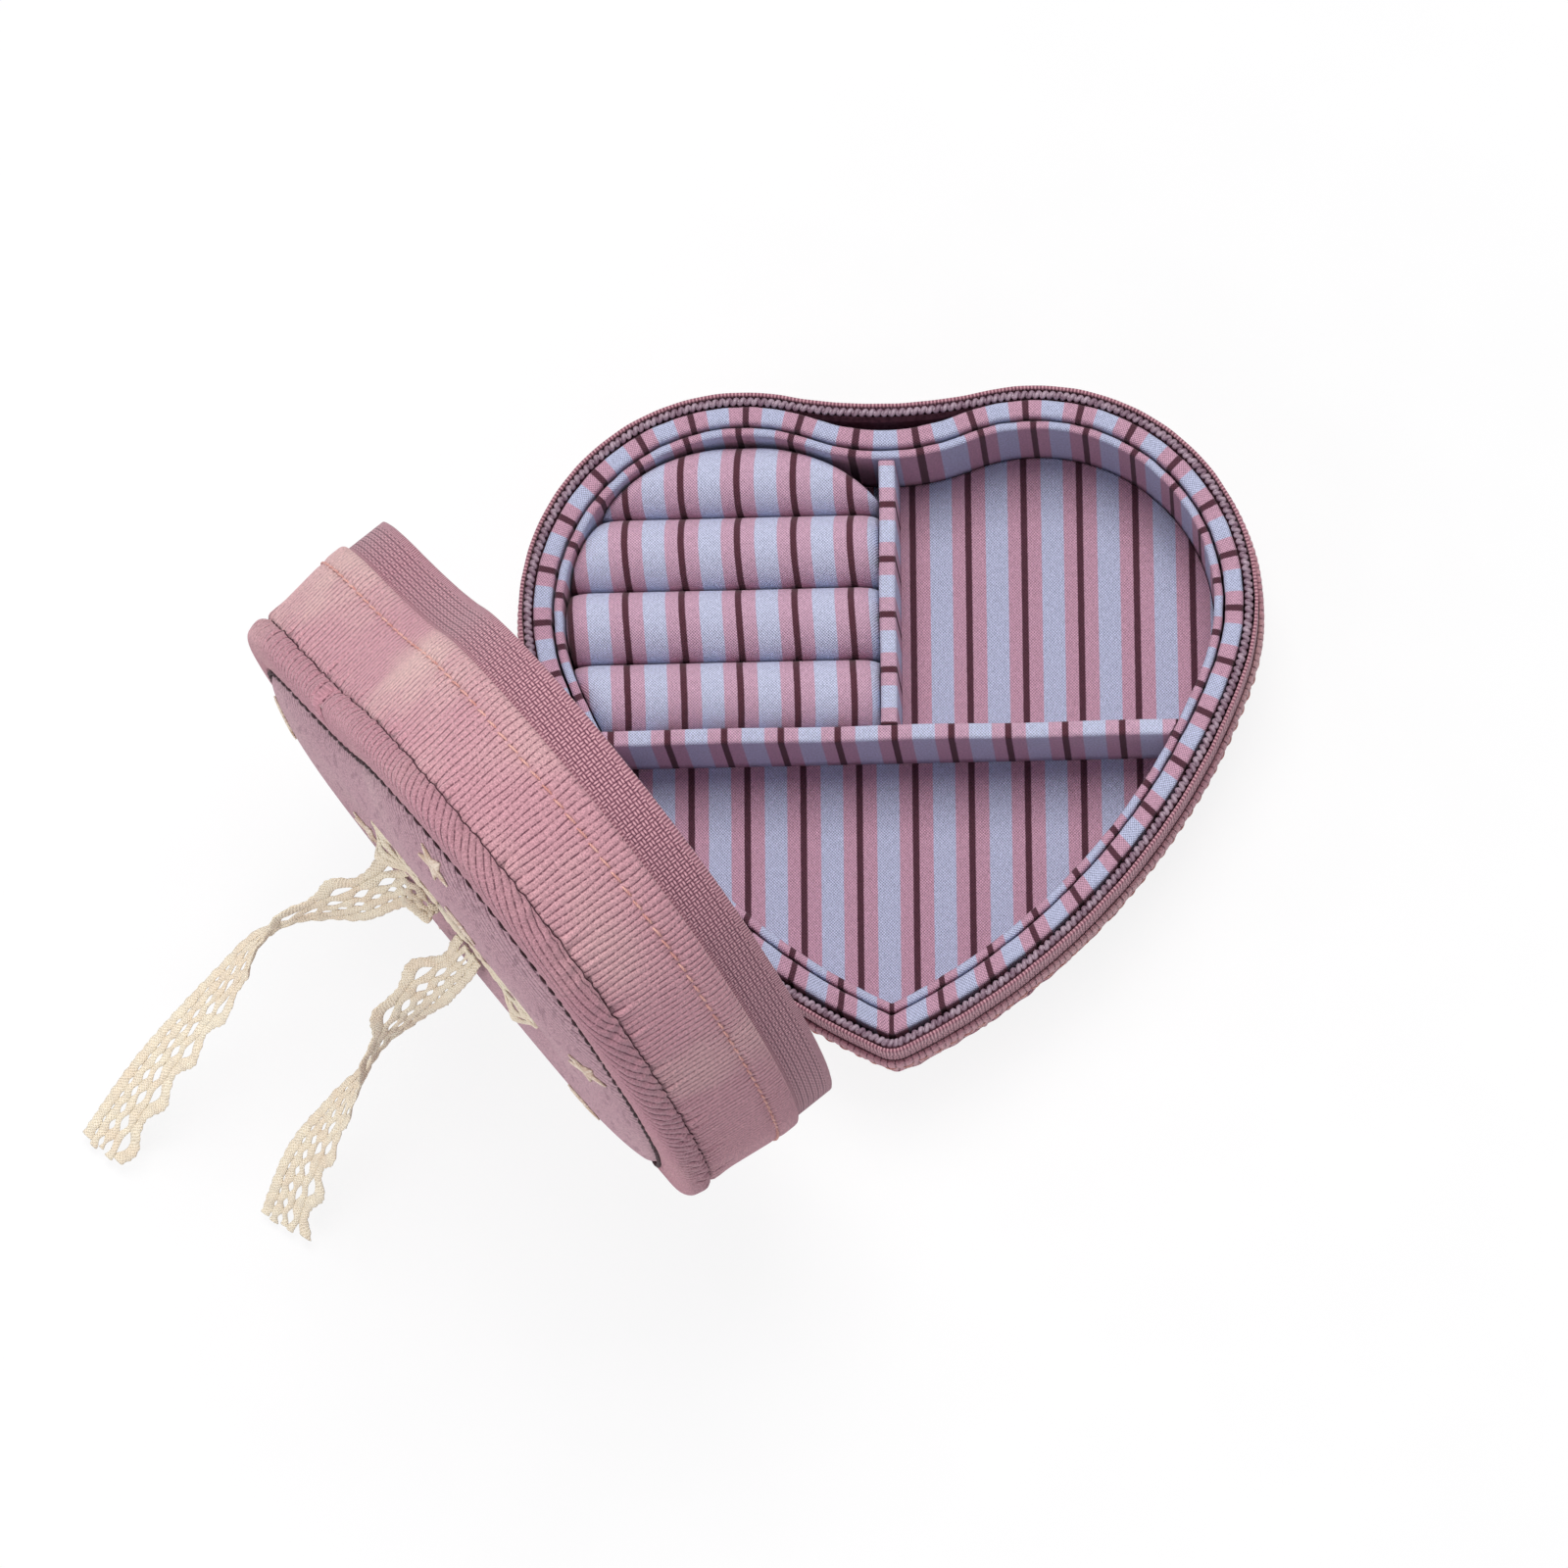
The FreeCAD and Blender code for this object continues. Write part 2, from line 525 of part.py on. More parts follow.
def end_stop(name, frame, above):
    """Return one end stop: a clamp with two legs astride the tape's edge."""
    slot_out = "Sizes.ply_gap"
    slot_in = "-(Sizes.tape_thickness + Sizes.ply_gap)"
    block_out = f"{slot_out} + Sizes.stop_wall"
    block_in = f"{slot_in} - Sizes.stop_wall"
    half = "Sizes.stop_length / 2"
    far = "Sizes.zip_gap + Sizes.stop_reach"
    bridge = "Sizes.zip_gap + Sizes.coil_height"
    heights = ("Sizes.zip_gap", far) if above else (f"-({far})", "-Sizes.zip_gap")
    slot_heights = (bridge, far) if above else (f"-({far})", f"-({bridge})")
    block = bound_block(name + "_block", (f"-{half}", block_in, heights[0]), (half, block_out, heights[1]))
    slot = bound_block(
        name + "_slot",
        ("-Sizes.stop_length", slot_in, slot_heights[0]),
        ("Sizes.stop_length", slot_out, slot_heights[1]),
    )
    stop = boolean("Cut", name, block, slot)
    stop.Placement = frame
    return stop


def build_base():
    """Build the padded bottom, wall, boards and topstitch of the base."""
    sections = [
        (f"Sizes.bottom_flat * {share}", f"Sizes.bottom_depth * {rise}") for share, rise in BOTTOM_PROFILE
    ]
    keep("base_bottom_panel", heart_loft("base_bottom_panel", sections))

    low = "Sizes.bottom_depth + Sizes.ply_gap"
    height = "Sizes.zip_height - Sizes.tape_band - Sizes.bottom_depth - Sizes.ply_gap"
    sections = [
        (f"{CORD_OUT} - Sizes.wall_bulge * {bulge}", f"{low} + ({height}) * {share}")
        for share, bulge in WALL_PROFILE
    ]
    wall = heart_loft("base_outer_wall", sections)
    hollow = new_sketch(wall, low)
    add_heart(hollow, SHELL, CORD_IN)
    pocket_up(wall, hollow, height)
    keep("base_outer_wall", wall)

    floor = heart_plate("base_floor_board", SHELL, TAPE_OUT, FLOOR_BOARD_Z, "Sizes.floor_board_thickness")
    keep("base_floor_board", floor)
    board_height = f"Sizes.zip_height - Sizes.board_setback - ({TRAY_Z})"
    keep("base_wall_board", heart_ring("base_wall_board", SHELL, BOARD_OUT, BOARD_IN, TRAY_Z, board_height))
    stitch_z = f"Sizes.zip_height - {STITCH_HEIGHT}"
    stitch_in = f"{STITCH_IN} - Sizes.wall_bulge"
    stitch_out = f"{stitch_in} - Sizes.stitch_thread"
    stitch = heart_ring("base_topstitch", SHELL, stitch_out, stitch_in, stitch_z, "Sizes.stitch_thread")
    keep("base_topstitch", stitch)


def build_tray():
    """Build the wrapped tray: collar, inner wall, floor, dividers and ring rolls."""
    collar_height = f"Sizes.zip_height - Sizes.collar_setback - ({TRAY_Z})"
    collar = heart_ring("tray_collar", TRAY, "0", COLLAR_IN, TRAY_Z, collar_height)
    round_top(collar, "Sizes.divider_round")
    keep("tray_collar", collar)
    wall_height = f"Sizes.zip_height - Sizes.inner_wall_setback - ({TRAY_Z})"
    inner = heart_ring("tray_inner_wall", TRAY, INNER_OUT, INNER_IN, TRAY_Z, wall_height)
    round_top(inner, "Sizes.inner_wall_round")
    keep("tray_inner_wall", inner)
    keep("tray_floor", heart_plate("tray_floor", TRAY, TRAY_HOLLOW, TRAY_Z, "Sizes.tray_floor_thickness"))

    hollow = heart_plate("tray_hollow", TRAY, TRAY_HOLLOW, DIVIDER_Z, "Sizes.zip_height")
    divider_height = f"Sizes.zip_height - Sizes.divider_setback - ({DIVIDER_Z})"
    reach = "Sizes.lobe_centre_x + Sizes.lobe_radius"
    south = "Sizes.cross_divider_y - Sizes.divider_thickness"
    half = "Sizes.divider_thickness / 2"
    foot = "Sizes.cross_divider_y + Sizes.ply_gap"
    top = "Sizes.lobe_centre_y + Sizes.lobe_radius"
    bars = (
        ("cross_divider", f"-({reach})", reach, south, "Sizes.cross_divider_y"),
        ("upright_divider", f"-{half}", half, foot, top),
    )
    for name, low_x, high_x, low_y, high_y in bars:
        bar = new_body(name + "_bar")
        sketch = new_sketch(bar, DIVIDER_Z)
        add_rectangle(sketch, low_x, high_x, low_y, high_y)
        pad(bar, sketch, divider_height)
        round_top(bar, "Sizes.divider_round")
        keep(name, boolean("Common", name, bar, hollow))

    space = heart_plate("roll_space", TRAY, ROLL_SPACE, DIVIDER_Z, "Sizes.zip_height")
    for index in range(int(value("Sizes.roll_count"))):
        build_roll(index, space)


def build_roll(index, space):
    """Build one ring roll: a foam bar with a round crown, cut to the tray's outline."""
    name = f"ring_roll_{index + 1}"
    low_y = f"Sizes.cross_divider_y + Sizes.soft_gap + {index} * {ROLL_PITCH}"
    high_y = f"Sizes.cross_divider_y + {index + 1} * {ROLL_PITCH}"
    crown_z = "Sizes.zip_height - Sizes.roll_setback"
    shoulder_z = f"{crown_z} - Sizes.roll_crown"
    half_width = f"({ROLL_PITCH} - Sizes.soft_gap) / 2"
    crown_radius = f"(({half_width})^2 + Sizes.roll_crown^2) / (2 * Sizes.roll_crown)"
    south, north, floor, shoulder, crown = (value(e) for e in (low_y, high_y, DIVIDER_Z, shoulder_z, crown_z))
    east = "Sizes.divider_thickness / 2 + Sizes.soft_gap"

    bar = new_body(name + "_bar")
    sketch = new_sketch(bar, f"-({east})", "YZ_Plane")
    corners = [Vector(south, shoulder), Vector(south, floor), Vector(north, floor), Vector(north, shoulder)]
    lines = [Part.LineSegment(corners[i], corners[i + 1]) for i in range(3)]
    arch = Part.Arc(corners[3], Vector((south + north) / 2, crown), corners[0])
    left, bottom, right, arc = sketch.addGeometry(lines + [arch], False)
    terms = (
        ("Coincident", left, END, bottom, START),
        ("Coincident", bottom, END, right, START),
        ("Coincident", right, END, arc, START),
        ("Coincident", left, START, arc, END),
        ("Vertical", left),
        ("Horizontal", bottom),
        ("Vertical", right),
        ("Equal", left, right),
    )
    for term in terms:
        sketch.addConstraint(Sketcher.Constraint(*term))
    bound = (
        (("DistanceX", -1, 1, bottom, START, south), low_y),
        (("DistanceX", -1, 1, bottom, END, north), high_y),
        (("DistanceY", -1, 1, bottom, START, floor), DIVIDER_Z),
        (("DistanceY", -1, 1, left, START, shoulder), shoulder_z),
        (("Radius", arc, value(crown_radius)), crown_radius),
    )
    for term, expression in bound:
        number = sketch.addConstraint(Sketcher.Constraint(*term))
        sketch.setExpression(f"Constraints[{number}]", expression)
    length = pad(bar, sketch, "Sizes.lobe_centre_x + Sizes.lobe_radius")
    length.Reversed = True
    keep(name, boolean("Common", name, bar, space))


def build_lid():
    """Build the lid's wall, boards, lining, foam, rolled edge and field."""
    low = "Sizes.zip_height + Sizes.tape_band"
    wall = heart_ring("lid_outer_wall", SHELL, CORD_OUT, CORD_IN, low, "Sizes.seam_height - Sizes.tape_band")
    keep("lid_outer_wall", wall, lid_placement)
    stitch_z = f"Sizes.zip_height + {STITCH_HEIGHT}"
    stitch = heart_ring("lid_topstitch", SHELL, STITCH_OUT, STITCH_IN, stitch_z, "Sizes.stitch_thread")
    keep("lid_topstitch", stitch, lid_placement)
    board_low = "Sizes.zip_height + Sizes.board_setback"
    board_height = f"{TOP_BOARD_Z} - Sizes.ply_gap - ({board_low})"
    board = heart_ring("lid_wall_board", SHELL, BOARD_OUT, BOARD_IN, board_low, board_height)
    keep("lid_wall_board", board, lid_placement)
    lining_low = "Sizes.zip_height + Sizes.lining_edge"
    lining_height = f"{LINING_PANEL_Z} - Sizes.ply_gap - ({lining_low})"
    lining = heart_ring("lid_lining_wall", SHELL, LINING_OUT, LINING_IN, lining_low, lining_height)
    keep("lid_lining_wall", lining, lid_placement)
    plates = (
        ("lid_lining_panel", LINING_OUT, LINING_PANEL_Z, "Sizes.lining_thickness"),
        ("lid_top_board", BOARD_OUT, TOP_BOARD_Z, "Sizes.top_board_thickness"),
        ("lid_top_foam", BOARD_OUT, FOAM_Z, "Sizes.foam_thickness"),
    )
    for name, inset, z, height in plates:
        keep(name, heart_plate(name, SHELL, inset, z, height), lid_placement)

    rise = f"({EDGE_TOP_Z} - ({EDGE_Z}))"
    sections = [(f"{inset}", f"{EDGE_Z} + {rise} * {share}") for inset, share in ROLL_PROFILE]
    edge = heart_loft("lid_edge_roll", sections)
    hollow = new_sketch(edge, EDGE_Z)
    add_heart(hollow, SHELL, f"{BOARD_OUT} - Sizes.ply_gap")
    pocket_up(edge, hollow, f"{COVER_Z} - ({EDGE_Z})")
    window = new_sketch(edge, EDGE_Z)
    add_heart(window, SHELL, "Sizes.quilt_inset")
    pocket_up(edge, window, rise)
    keep("lid_edge_roll", edge, lid_placement)

    thread_out = "Sizes.quilt_inset + (Sizes.quilt_gap - Sizes.quilt_thread) / 2"
    thread_in = f"{thread_out} + Sizes.quilt_thread"
    thread = heart_ring("lid_quilt_stitch", SHELL, thread_out, thread_in, COVER_Z, "2 * Sizes.quilt_thread")
    keep("lid_quilt_stitch", thread, lid_placement)
    field_rise = f"({FIELD_Z} - ({COVER_Z}))"
    field_edge = "Sizes.quilt_inset + Sizes.quilt_gap"
    sections = [
        (f"{field_edge} + {inset}", f"{COVER_Z} + {field_rise} * {share}") for inset, share in FIELD_PROFILE
    ]
    field = heart_loft("lid_field_panel", sections)
    keep("lid_field_panel", field, lid_placement)


def star_places():
    """Return the middles of the embroidered stars on the panel."""
    lobe = Vector(value("Sizes.lobe_centre_x"), value("Sizes.lobe_centre_y"))
    inset = value("Sizes.star_inset")
    right = [lobe]
    arcs = ((lobe, shell_heart.lobe, STAR_LOBE_DIRECTION), (flank_right, shell_heart.flank, STAR_FLANK_DIRECTION))
    for centre, radius, direction in arcs:
        turn = math.radians(direction)
        right.append(centre + Vector(math.cos(turn), math.sin(turn)) * (radius - inset))
    left = [Vector(-place.x, place.y) for place in right]
    return right + left + [Vector(0, -value("Sizes.tip_depth - Sizes.star_tip_rise"))]


def star_solid(x, y, z):
    """Return one raised star lying on the panel."""
    radii = (value("Sizes.star_radius"), value("Sizes.star_waist"))
    corners = []
    for step in range(2 * STAR_POINTS):
        heading = math.pi / 2 + step * math.pi / STAR_POINTS
        reach = radii[step % 2]
        corners.append(Vector(x + reach * math.cos(heading), y + reach * math.sin(heading), z))
    face = Part.Face(Part.makePolygon(corners + corners[:1]))
    return face.extrude(UP * value("Sizes.star_thickness"))


def loop_solid():
    """Return one bow loop: X away from the knot, Y across the lace, Z out of the panel.

    The lace is a band of even thickness along a smooth curve, cut to the taper where the knot gathers it.
    """
    points = [Vector(reach, 0, height) for reach, height in LOOP_ROUTE]
    half = value("Sizes.lace_thickness") / 2
    full, neck = value("Sizes.lace_width") / 2, value("Sizes.lace_neck") / 2
    edges = []
    ends = []
    for side in (half, -half):
        shifted = []
        for index, point in enumerate(points):
            ahead = points[min(index + 1, len(points) - 1)] - points[max(index - 1, 0)]
            ahead.normalize()
            shifted.append(point + Vector(-ahead.z, 0, ahead.x) * side)
        curve = Part.BSplineCurve()
        curve.interpolate(shifted)
        edges.append(curve.toShape())
        ends.append((shifted[0], shifted[-1]))
    edges += [Part.makeLine(first, second) for first, second in zip(*ends)]
    band = Part.Face(Part.Wire(Part.sortEdges(edges)[0])).extrude(Vector(0, 2 * full, 0))
    band.translate(Vector(0, -full, 0))
    start, gathered = points[0].x, points[1].x
    far = 2 * max(point.x for point in points)
    half_taper = [Vector(start, neck), Vector(gathered, full), Vector(far, full)]
    other_half = [Vector(corner.x, -corner.y) for corner in reversed(half_taper)]
    corners = [Vector(0, neck)] + half_taper + other_half + [Vector(0, -neck), Vector(0, neck)]
    taper = Part.Face(Part.makePolygon(corners)).extrude(UP * far)
    return band.common(taper).Solids[0]


def ribbon_solid(route, widths, across):
    """Return a ribbon: a ruled loft through one rectangle at each point of a route."""
    thickness = value("Sizes.lace_thickness")
    frames = []
    for index, point in enumerate(route):
        ahead = route[min(index + 1, len(route) - 1)] - route[max(index - 1, 0)]
        ahead.normalize()
        side = across[index] - ahead * across[index].dot(ahead)
        side.normalize()
        frames.append((point, side * (widths[index] / 2), ahead.cross(side) * (thickness / 2)))
    wires = []
    for point, side, face in frames:
        corners = [point + side + face, point - side + face, point - side - face, point + side - face]
        wires.append(Part.makePolygon(corners + corners[:1]))
    return Part.makeLoft(wires, True, True)


def build_trim():
    """Build the embroidered stars, the bow's knot, loops and tails."""
    panel_z = value(f"{FIELD_Z} + Sizes.ply_gap")
    stars = doc.addObject("Part::Feature", "embroidered_stars")
    stars.Shape = Part.makeCompound([star_solid(place.x, place.y, panel_z) for place in star_places()])
    keep("embroidered_stars", stars, lid_placement)

    bow = Vector(0, value("Sizes.bow_y"), panel_z)
    bow_place = FreeCAD.Placement(bow, FreeCAD.Rotation(UP, -value("Sizes.hinge_angle")))
    half_length, half_width = "Sizes.knot_length / 2", "Sizes.knot_width / 2"
    box = bound_block(
        "bow_knot_block",
        (f"-{half_length}", f"-{half_width}", "0"),
        (half_length, half_width, "Sizes.knot_height"),
    )
    doc.recompute()
    knot = doc.addObject("Part::Fillet", "bow_knot")
    knot.Base = box
    radius = value("Sizes.knot_round")
    knot.Edges = [(i, radius, radius) for i in range(1, len(box.Shape.Edges) + 1)]
    keep("bow_knot", knot, lid_placement.multiply(bow_place))

    half_turn = FreeCAD.Placement(Vector(), FreeCAD.Rotation(UP, 180))
    for name, place in (("bow_loop_left", bow_place.multiply(half_turn)), ("bow_loop_right", bow_place)):
        loop = doc.addObject("Part::Feature", name)
        loop.Shape = loop_solid()
        keep(name, loop, lid_placement.multiply(place))

    neck, full = value("Sizes.lace_neck"), value("Sizes.lace_width")
    knot_middle = lid_placement.multVec(bow + UP * (value("Sizes.knot_height") / 2))
    for name, tail in (("bow_tail_left", TAIL_LEFT), ("bow_tail_right", TAIL_RIGHT)):
        route = []
        across = []
        for along, out, down, twist in tail:
            route.append(knot_middle + hinge_axis * along - hinge_inward * out - UP * down)
            across.append(FreeCAD.Rotation(UP - hinge_inward, twist).multVec(hinge_axis))
        widths = [neck, (neck + full) / 2] + [full] * (len(tail) - 2)
        ribbon = doc.addObject("Part::Feature", name)
        ribbon.Shape = ribbon_solid(route, widths, across)
        length = sum((route[i + 1] - route[i]).Length for i in range(len(route) - 1))
        lowest = ribbon.Shape.BoundBox.ZMin
        print(f"{name}: {length:.0f} mm of lace beyond the knot, lowest point {lowest:.2f} mm")
        keep(name, ribbon)


def pin_rod(name, radius, half):
    """Return a cylinder about the pull tab's axis, from -half to half along the tape."""
    rod = doc.addObject("Part::Cylinder", name)
    rod.setExpression("Radius", radius)
    rod.setExpression("Height", f"2 * ({half})")
    rod.Placement.Rotation = FreeCAD.Rotation(Vector(0, 1, 0), 90)
    rod.setExpression("Placement.Base.x", f"-({half})")
    rod.setExpression("Placement.Base.y", PIN_Y)
    return rod


def build_slider():
    """Build the zip slider and its pull tab, beside the upper end of the hinge."""
    frame = flank_frame(value(SLIDER_PLACE))
    half = "Sizes.slider_length / 2"
    low_z = "-Sizes.slider_base_reach"
    high_z = "Sizes.slider_lid_reach"
    coil_top = "Sizes.zip_gap + Sizes.coil_height"
    lug = "Sizes.lug_length / 2"
    lug_z = "Sizes.lug_height / 2"
    outer = bound_block("slider_outer", (f"-{half}", PLATE_IN, low_z), (half, PLATE_OUT, high_z))
    back = f"{BACK_OUT} - Sizes.slider_plate"
    inner = bound_block("slider_inner", (f"-{half}", back, low_z), (half, BACK_OUT, high_z))
    post_start = f"{half} - Sizes.post_length"
    post = bound_block("slider_post", (post_start, BACK_OUT, f"-({coil_top})"), (half, PLATE_IN, coil_top))
    crest = bound_block(
        "slider_lug", (f"-{lug}", PLATE_OUT, f"-{lug_z}"), (lug, f"{PIN_Y} + {lug_z}", lug_z)
    )
    whole = doc.addObject("Part::MultiFuse", "slider_blank")
    whole.Shapes = [outer, inner, post, crest]
    bore = pin_rod("slider_bore", "Sizes.pin_radius + Sizes.pin_clearance", "Sizes.slider_length")
    keep("zip_slider", boolean("Cut", "zip_slider", whole, bore), frame)

    ear_low = f"{lug} + Sizes.tab_side_gap"
    ear_high = f"{ear_low} + Sizes.tab_ear"
    thick = "Sizes.tab_thickness / 2"
    near, far = f"{PIN_Y} - {thick}", f"{PIN_Y} + {thick}"
    window = "-Sizes.tab_window"
    ears = [
        bound_block("tab_ear_low", (f"-({ear_high})", near, window), (f"-({ear_low})", far, thick)),
        bound_block("tab_ear_high", (ear_low, near, window), (ear_high, far, thick)),
    ]
    blade = bound_block(
        "tab_blade", (f"-({ear_high})", near, "-Sizes.tab_length"), (ear_high, far, window)
    )
    tab = doc.addObject("Part::MultiFuse", "tab_blank")
    tab.Shapes = ears + [blade, pin_rod("tab_pin", "Sizes.pin_radius", ear_high)]
    hole = doc.addObject("Part::Cylinder", "tab_hole")
    hole.setExpression("Radius", "Sizes.tab_hole_radius")
    hole.setExpression("Height", "2 * Sizes.tab_thickness")
    hole.Placement.Rotation = FreeCAD.Rotation(Vector(1, 0, 0), 90)
    hole.setExpression("Placement.Base.y", f"{PIN_Y} + Sizes.tab_thickness")
    hole.setExpression("Placement.Base.z", "Sizes.tab_hole_inset - Sizes.tab_length")
    keep("zip_pull_tab", boolean("Cut", "zip_pull_tab", tab, hole), frame)
    pivot = frame.multVec(Vector(0, value(PIN_Y), 0))
    along = frame.Rotation.multVec(Vector(1, 0, 0))
    print(f"pull tab pivot {rounded(pivot, 4)}, zip direction {rounded(along, 6)}")


def rounded(vector, places):
    """Return a vector's coordinates, rounded for printing."""
    return tuple(round(coordinate, places) for coordinate in vector)


def check_document():
    """Stop if any object failed, or a sub-part has no valid solid."""
    for item in doc.Objects:
        if "Invalid" in item.State or "Error" in item.State:
            raise RuntimeError(f"{item.Name} failed: {item.State}")
    for name, item in nodes.items():
        if item.Shape.isNull() or not item.Shape.isValid() or not item.Shape.Solids:
            raise RuntimeError(f"{name} has no valid solid")


build_base()
build_zip("base", FreeCAD.Placement())
build_tray()
build_slider()
build_zip("lid", lid_placement)
build_lid()
build_trim()
doc.recompute()
check_document()
os.makedirs("parts", exist_ok=True)
for name, item in nodes.items():
    item.Shape.exportStep(f"parts/{name}.step")
print(f"hinge point {rounded(hinge_point, 4)}, axis {rounded(hinge_axis, 6)}")
print(f"{len(nodes)} nodes written")
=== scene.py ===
"""Heart-shaped zip-around jewellery case in needlecord, standing open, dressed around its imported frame.

Lengths are millimetres until a mesh is written, and angles are degrees where a name says so. The lid's pieces
are worked out closed, above the zip plane, and then turned open about the hinge line. An inset is measured
inwards from a heart outline, and a cloth map holds millimetres along and across the cloth.
"""
import logging
import math
from dataclasses import dataclass
from enum import Enum

import bpy
import numpy as np
from mathutils import Matrix


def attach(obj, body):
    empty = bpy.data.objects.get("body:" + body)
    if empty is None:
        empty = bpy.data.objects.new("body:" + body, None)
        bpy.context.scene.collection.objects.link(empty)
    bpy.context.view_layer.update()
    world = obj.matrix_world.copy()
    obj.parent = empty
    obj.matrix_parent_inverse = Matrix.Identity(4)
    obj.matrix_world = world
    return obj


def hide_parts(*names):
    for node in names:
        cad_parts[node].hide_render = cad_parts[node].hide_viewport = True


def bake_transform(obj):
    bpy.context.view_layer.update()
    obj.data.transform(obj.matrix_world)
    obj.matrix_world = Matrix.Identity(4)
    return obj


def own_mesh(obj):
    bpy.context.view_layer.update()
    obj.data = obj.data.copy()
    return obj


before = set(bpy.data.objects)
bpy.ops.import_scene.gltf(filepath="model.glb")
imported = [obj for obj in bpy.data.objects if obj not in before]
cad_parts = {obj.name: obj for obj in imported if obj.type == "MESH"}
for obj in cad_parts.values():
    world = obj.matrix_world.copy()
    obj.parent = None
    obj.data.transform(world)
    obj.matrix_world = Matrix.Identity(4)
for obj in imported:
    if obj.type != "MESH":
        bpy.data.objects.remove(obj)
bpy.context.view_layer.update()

Array = np.ndarray
Socket = bpy.types.NodeSocket
Thing = bpy.types.Object
Material = bpy.types.Material

LOG = logging.getLogger("jewellery_case")

MM = 0.001
ZIP_Z = 34.0
UP = np.array([0.0, 0.0, 1.0])
HINGE_POINT = np.array([-52.147, -27.5685, ZIP_Z])
HINGE_AXIS = np.array([0.619779, -0.784776, 0.0])
HINGE_INWARD = np.array([0.784776, 0.619779, 0.0])
LID_OPEN = math.radians(89.0)

LOBE_X, LOBE_Y = 30.0, 25.4
LEAST_TIP = 1.0
TIP_RISE = 1.13
FLANK_ARC, NOTCH_ARC = 1, 3
FINE_ROUND = 2400
CURVE_STEPS = 40

WALE_PITCH = 1.5
WALE_POWER = 0.6
STRIPE_PERIOD = 11.63
DARK_LINE_X = 15.26
TAPE_CELL = 1.25


class Body(Enum):
    """Bodies of the case that its new pieces ride on."""

    BASE = "base"
    LID = "lid"


class Slot(Enum):
    """The record's finishes, by name."""

    CORDUROY = "corduroy"
    TAPE = "zip_tape"
    COIL = "zip_coil"
    BOARD = "board"
    STRIPES = "striped_cotton"
    STUFFED = "stuffed_cotton"
    LINING = "lining"
    THREAD = "thread"
    QUILT = "quilt_thread"
    EMBROIDERY = "embroidery"
    LACE = "lace"


def unit(vectors: Array) -> Array:
    """Return vectors scaled to length 1."""
    return vectors / np.maximum(np.linalg.norm(vectors, axis=-1, keepdims=True), 1e-9)


def direction(angles: Array) -> Array:
    """Return the directions of angles in radians, as x and y along a last axis."""
    return np.stack([np.cos(angles), np.sin(angles)], axis=-1)


def distances(points: Array) -> Array:
    """Return how far along a row of points each of them lies."""
    steps = np.linalg.norm(np.diff(points, axis=0), axis=1)
    return np.append(0.0, np.cumsum(steps))


def paired(first: Array, second: Array) -> Array:
    """Return two grids, spread to one shape, as pairs along a last axis."""
    return np.stack(np.broadcast_arrays(first, second), axis=-1)


def raised(flat: Array, height: Array | float) -> Array:
    """Return places of x and y with a height added to each."""
    return np.concatenate([flat, np.broadcast_to(height, flat.shape[:-1])[..., None]], axis=-1)


def looped(grid: Array, axis: int) -> Array:
    """Return a grid with its first row or column repeated at its end."""
    return np.concatenate([grid, np.take(grid, [0], axis=axis)], axis=axis)


def upright(inset: float, heights: Array) -> Array:
    """Return profile rows straight up at one inset."""
    return np.c_[np.full(len(heights), inset), heights]


def ripple(share: Array, waves: tuple[int, ...], seed: int) -> Array:
    """Return a closed ripple between about -1 and 1: sines of whole wave counts with seeded phases."""
    phases = np.random.RandomState(seed).uniform(0, 2 * math.pi, len(waves))
    total = sum(np.sin(2 * math.pi * n * share + p) for n, p in zip(waves, phases))
    return total / len(waves)


def bell(values: Array, middle: float, width: float) -> Array:
    """Return a bell curve of height 1 about a middle."""
    return np.exp(-(((values - middle) / width) ** 2))


def squared(values: Array, power: float) -> Array:
    """Return a sine or cosine swollen towards a square wave: its size raised to a power below 1."""
    return np.sign(values) * np.abs(values) ** power


def wale_ridge(along: Array) -> Array:
    """Return the height of the cord's ridges, 0 in the grooves and 1 on the crests: a flattened sine."""
    return np.abs(np.sin(math.pi * along / WALE_PITCH)) ** WALE_POWER


def stripe_shift(periods: int = 20) -> float:
    """Return the shift along the striped cloth that puts a dark line at its place in the tray."""
    return periods * STRIPE_PERIOD - DARK_LINE_X


def open_lid(points: Array) -> Array:
    """Turn points of the closed lid open about the hinge line.

    The inward direction swings up and the up direction swings outwards, by the lid's opening angle.

    Args:
        points: places in the closed lid, with the coordinates last.

    Returns:
        The same places with the lid standing open.
    """
    arm = points - HINGE_POINT
    along = (arm @ HINGE_AXIS)[..., None] * HINGE_AXIS
    inward = arm @ HINGE_INWARD
    rise = arm[..., 2]
    turn_cos, turn_sin = math.cos(LID_OPEN), math.sin(LID_OPEN)
    level = (inward * turn_cos - rise * turn_sin)[..., None] * HINGE_INWARD
    height = (inward * turn_sin + rise * turn_cos)[..., None] * UP
    return HINGE_POINT + along + level + height


